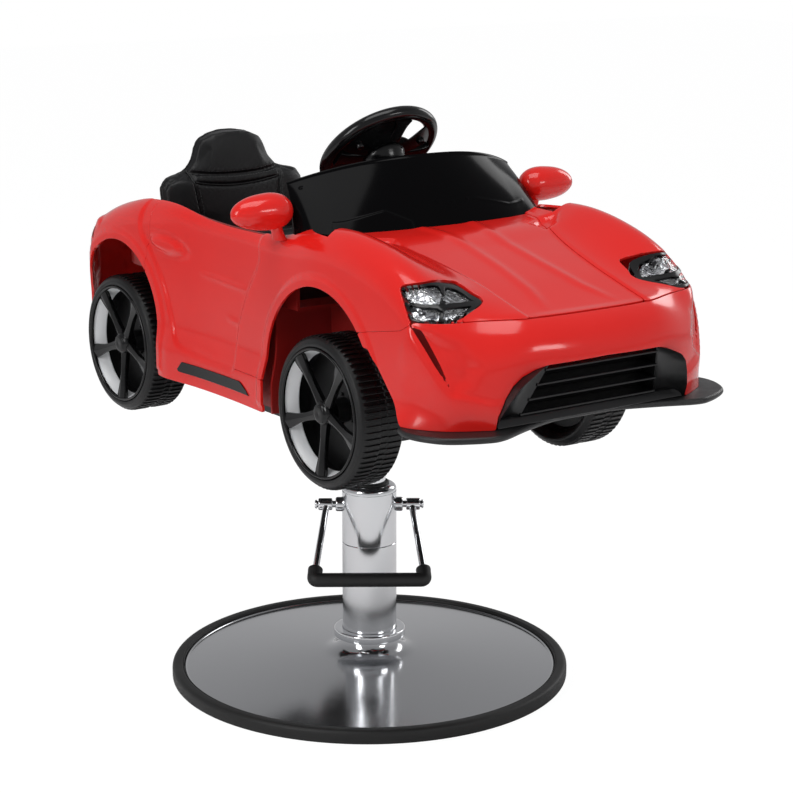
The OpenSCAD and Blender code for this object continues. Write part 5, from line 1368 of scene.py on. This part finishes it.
def dropped(obj, line, way, back=120.0, sink=0.0):
    """A line's points moved along a direction onto a piece, as far as they meet it."""
    tree = BVHTree.FromObject(obj, bpy.context.evaluated_depsgraph_get())
    way = Vector(way).normalized()
    out = []
    for p in line:
        hit, _, _, _ = tree.ray_cast((Vector(p) - way * back) * MM, way)
        if hit is not None:
            out.append(np.array(hit) / MM + np.array(way) * sink)
    return np.array(out)


def stitched(name, lines):
    """Stitches along lines on a skin: Geometry Nodes lay a thread capsule every few millimetres."""
    points, edges = [], []
    for line in lines:
        edges += [(len(points) + i, len(points) + i + 1) for i in range(len(line) - 1)]
        points += [tuple(p * MM) for p in line]
    tree, given, socket = node_group(name + "_row", "Pitch", "NodeSocketFloat")
    row = add(tree, "GeometryNodeMeshToCurve", [(given.outputs["Geometry"], 0)])
    even = add(tree, "GeometryNodeResampleCurve", [(row.outputs[0], 0), (given.outputs["Pitch"], "Length")],
        mode="LENGTH")
    tangent = add(tree, "GeometryNodeInputTangent")
    aligned = add(tree, "FunctionNodeAlignRotationToVector", [(tangent.outputs[0], "Vector")], axis="Z")
    thread = add(tree, "GeometryNodeMeshCylinder", Vertices=6, Radius=0.00045, Depth=0.0034)
    copies = add(tree, "GeometryNodeInstanceOnPoints", [(even.outputs[0], "Points"), (thread.outputs[0], "Instance"),
        (aligned.outputs[0], "Rotation")])
    obj = run_group(name, points, edges, [], tree, copies, thread_black, socket, 0.005)
    obj.data.shade_smooth()
    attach(obj, "car")


# %% Seat cushion
def superpower(u, power):
    return np.maximum(0, 1 - np.abs(u) ** power)


u, v = np.meshgrid(np.linspace(-1, 1, 54), np.linspace(0, 1, 26))
round_in = superpower(u, 6) * superpower(2 * v - 1, 6)
crown = 6 * superpower(u, 2) * superpower(2 * v - 1, 2)
top = np.stack([u * 189, 199 + v * 150, SEAT_Z + 2 + 24 * (0.3 + 0.7 * round_in) + crown], -1)
under = np.stack([u * 185, 203 + v * 142, SEAT_Z + 1.5 + 0 * u], -1)
cushion = stuffed("cushion_pad", top, under)
put_points(cushion, np.clip(points_of(cushion), [-195, 193.8, 614.4], [195, 354, 655]))
cushion_lines = [[(s * 113, y, 0) for y in np.linspace(196, 352, 60)] for s in (-1, 1)]
cushion_lines.append([(x, 274, 0) for x in np.linspace(-113, 113, 90)])


def cushion_grooves(p, outward):
    gap = np.minimum.reduce([line_distance(p[:, :2], [q[:2] for q in line[::12] + line[-1:]])[0]
        for line in cushion_lines])
    waves = np.sin(p[:, 0] * 0.9 + 0.7 * np.sin(p[:, 1] * 0.31)) * np.sin(p[:, 1] * 0.8 + 1)
    puckers = 0.35 * waves * np.exp(-gap / 7)
    side = 1.3 * np.exp(-(((p[:, 2] - 634) / 1.6) ** 2)) * (np.abs(outward[:, 2]) < 0.75)
    return (4.2 * np.exp(-((gap / 3.2) ** 2)) + puckers) * (outward[:, 2] > 0.3) + side


press(cushion, cushion_grooves)
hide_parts("seat_cushion")
beside = [[(x + d, y, 640) for x, y, _ in line] for line in cushion_lines[:2] for d in (-4.5, 4.5)]
beside += [[(x, y + d, 640) for x, y, _ in cushion_lines[2][4:-4]] for d in (-4.5, 4.5)]
stitched("cushion_stitches", [dropped(cushion, line, (0, 0, -1), sink=0.15) for line in beside])

# %% Backrest
TOP_Z, BACK_HALF, BEFORE_SEAT = 810.0, 140.0, 340
back_table = np.array([[0, .9], [.2, .98], [.4, 1], [.52, 1], [.6, .93], [.68, .66], [.76, .56], [.87, .5],
    [.935, .44], [.99, .26], [1, .12]])


def back_z(share):
    return SEAT_Z + (TOP_Z - SEAT_Z) * share


def back_face(u, v, rear, shrink, thin):
    """The backrest's front or rear sheet, drawn in by shrink and thinned by thin millimetres."""
    half = BACK_HALF * np.interp(v, back_table[:, 0], back_table[:, 1]) - shrink
    z = SEAT_Z + shrink + (TOP_Z - SEAT_Z - 2 * shrink) * v
    pad = np.sqrt(superpower(u, 4))
    thick = (18 - thin) * (0.25 + 0.75 * pad)
    below = ease(0.66, 0.56, v)
    roll = 14 * u * u * pad * ease(0.2, 0.32, v) * (0.25 + 0.75 * below)
    middle_y = 372.3 + 26 * v
    return np.stack([u * half, middle_y + thick if rear else middle_y - thick - roll, z], -1)


u, v = np.meshgrid(np.sin(np.linspace(-1, 1, 64) * np.pi / 2),
    np.concatenate([np.linspace(0, 0.94, 44), [0.965, 0.985, 1]]))
backrest = stuffed("backrest_pad", back_face(u, v, False, 4.0, 4.5)[::-1], back_face(u, v, True, 4.0, 3.0)[::-1])


def seam_lines():
    """The backrest's seams as (x, z) points: under the headrest, below it, and beside the middle panel."""
    neck = [(x, back_z(.64) - 7 * (1 - (x / 84) ** 2)) for x in np.linspace(-84, 84, 60)]
    yoke = [(x, back_z(.56) - 9 * (1 - (x / 78) ** 2)) for x in np.linspace(-78, 78, 60)]
    sides = [[(s * (70 + 14 * t ** 2), back_z(.03 + .61 * t)) for t in np.linspace(0, 1, 60)] for s in (-1, 1)]
    return neck, yoke, *sides


back_outline = [(s * BACK_HALF * half, back_z(share))
    for s, table in ((1, back_table), (-1, back_table[::-1])) for share, half in table]
seams = seam_lines()


def back_grooves(p, outward):
    flat = p[:, [0, 2]]
    gap = np.minimum.reduce([line_distance(flat, line[::6] + line[-1:])[0] for line in seams])
    edge_gap = np.abs(outline_distance(flat, back_outline) - 9)
    front = outward[:, 1] < -0.15
    puckers = 0.4 * np.sin(p[:, 0] * 0.7 + np.sin(p[:, 2] * 0.3)) * np.sin(p[:, 2] * 0.55 + 1) * np.exp(-gap / 9)
    round_edge = (outward[:, 1] < 0.2) * 1.9 * np.exp(-((edge_gap / 2.2) ** 2))
    return front * (3.4 * np.exp(-((gap / 3.0) ** 2)) + puckers) + round_edge


press(backrest, back_grooves)
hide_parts("seat_back")
pipings = [tube(dropped(backrest, [(x, BEFORE_SEAT, z) for x, z in line], (0, 1, 0), sink=-0.2), 1.7, 12)
    for line in seams[1:]]
piping = piece("backrest_piping", *join_shapes(pipings), "car", leatherette, sharp=60)
tidy(piping)
beside = [[(x, BEFORE_SEAT, z + d) for x, z in seams[0][3:-3]] for d in (-4.5, 4.5)]
beside += [[(x + d, BEFORE_SEAT, z) for x, z in line[3:-3]] for line in seams[2:] for d in (-5, 5)]
stitched("backrest_stitches", [dropped(backrest, line, (0, 1, 0), sink=0.15) for line in beside])
print("seat faces", len(cushion.data.polygons) + len(backrest.data.polygons))

# %% [markdown]
# ## Parts that stay as the CAD has them
# The tub, the dashboard and the frame under the car keep their exact shape, and only get their finish.

# %% Finishes of the carried-over nodes
# The tub and the front liner get the red with painted shade, because they lie in shade.
kept = [(painted_shade_red, ["cabin_tub", "front_liner"]), (grained_pp, ["dashboard"]),
    (powder_coat, ["base_plate", "swivel_plate", "chassis_pan", "pan_wing_left", "pan_wing_right", "front_beam",
        "steering_box", "tie_rod", "knuckle_left", "knuckle_right"]),
    (bright_steel, ["rear_axle", "steering_shaft"])]
for paint, names in kept:
    for name in names:
        nodes[name].data.materials.clear()
        nodes[name].data.materials.append(paint)
print("kept", sum(len(names) for _, names in kept), "CAD nodes")
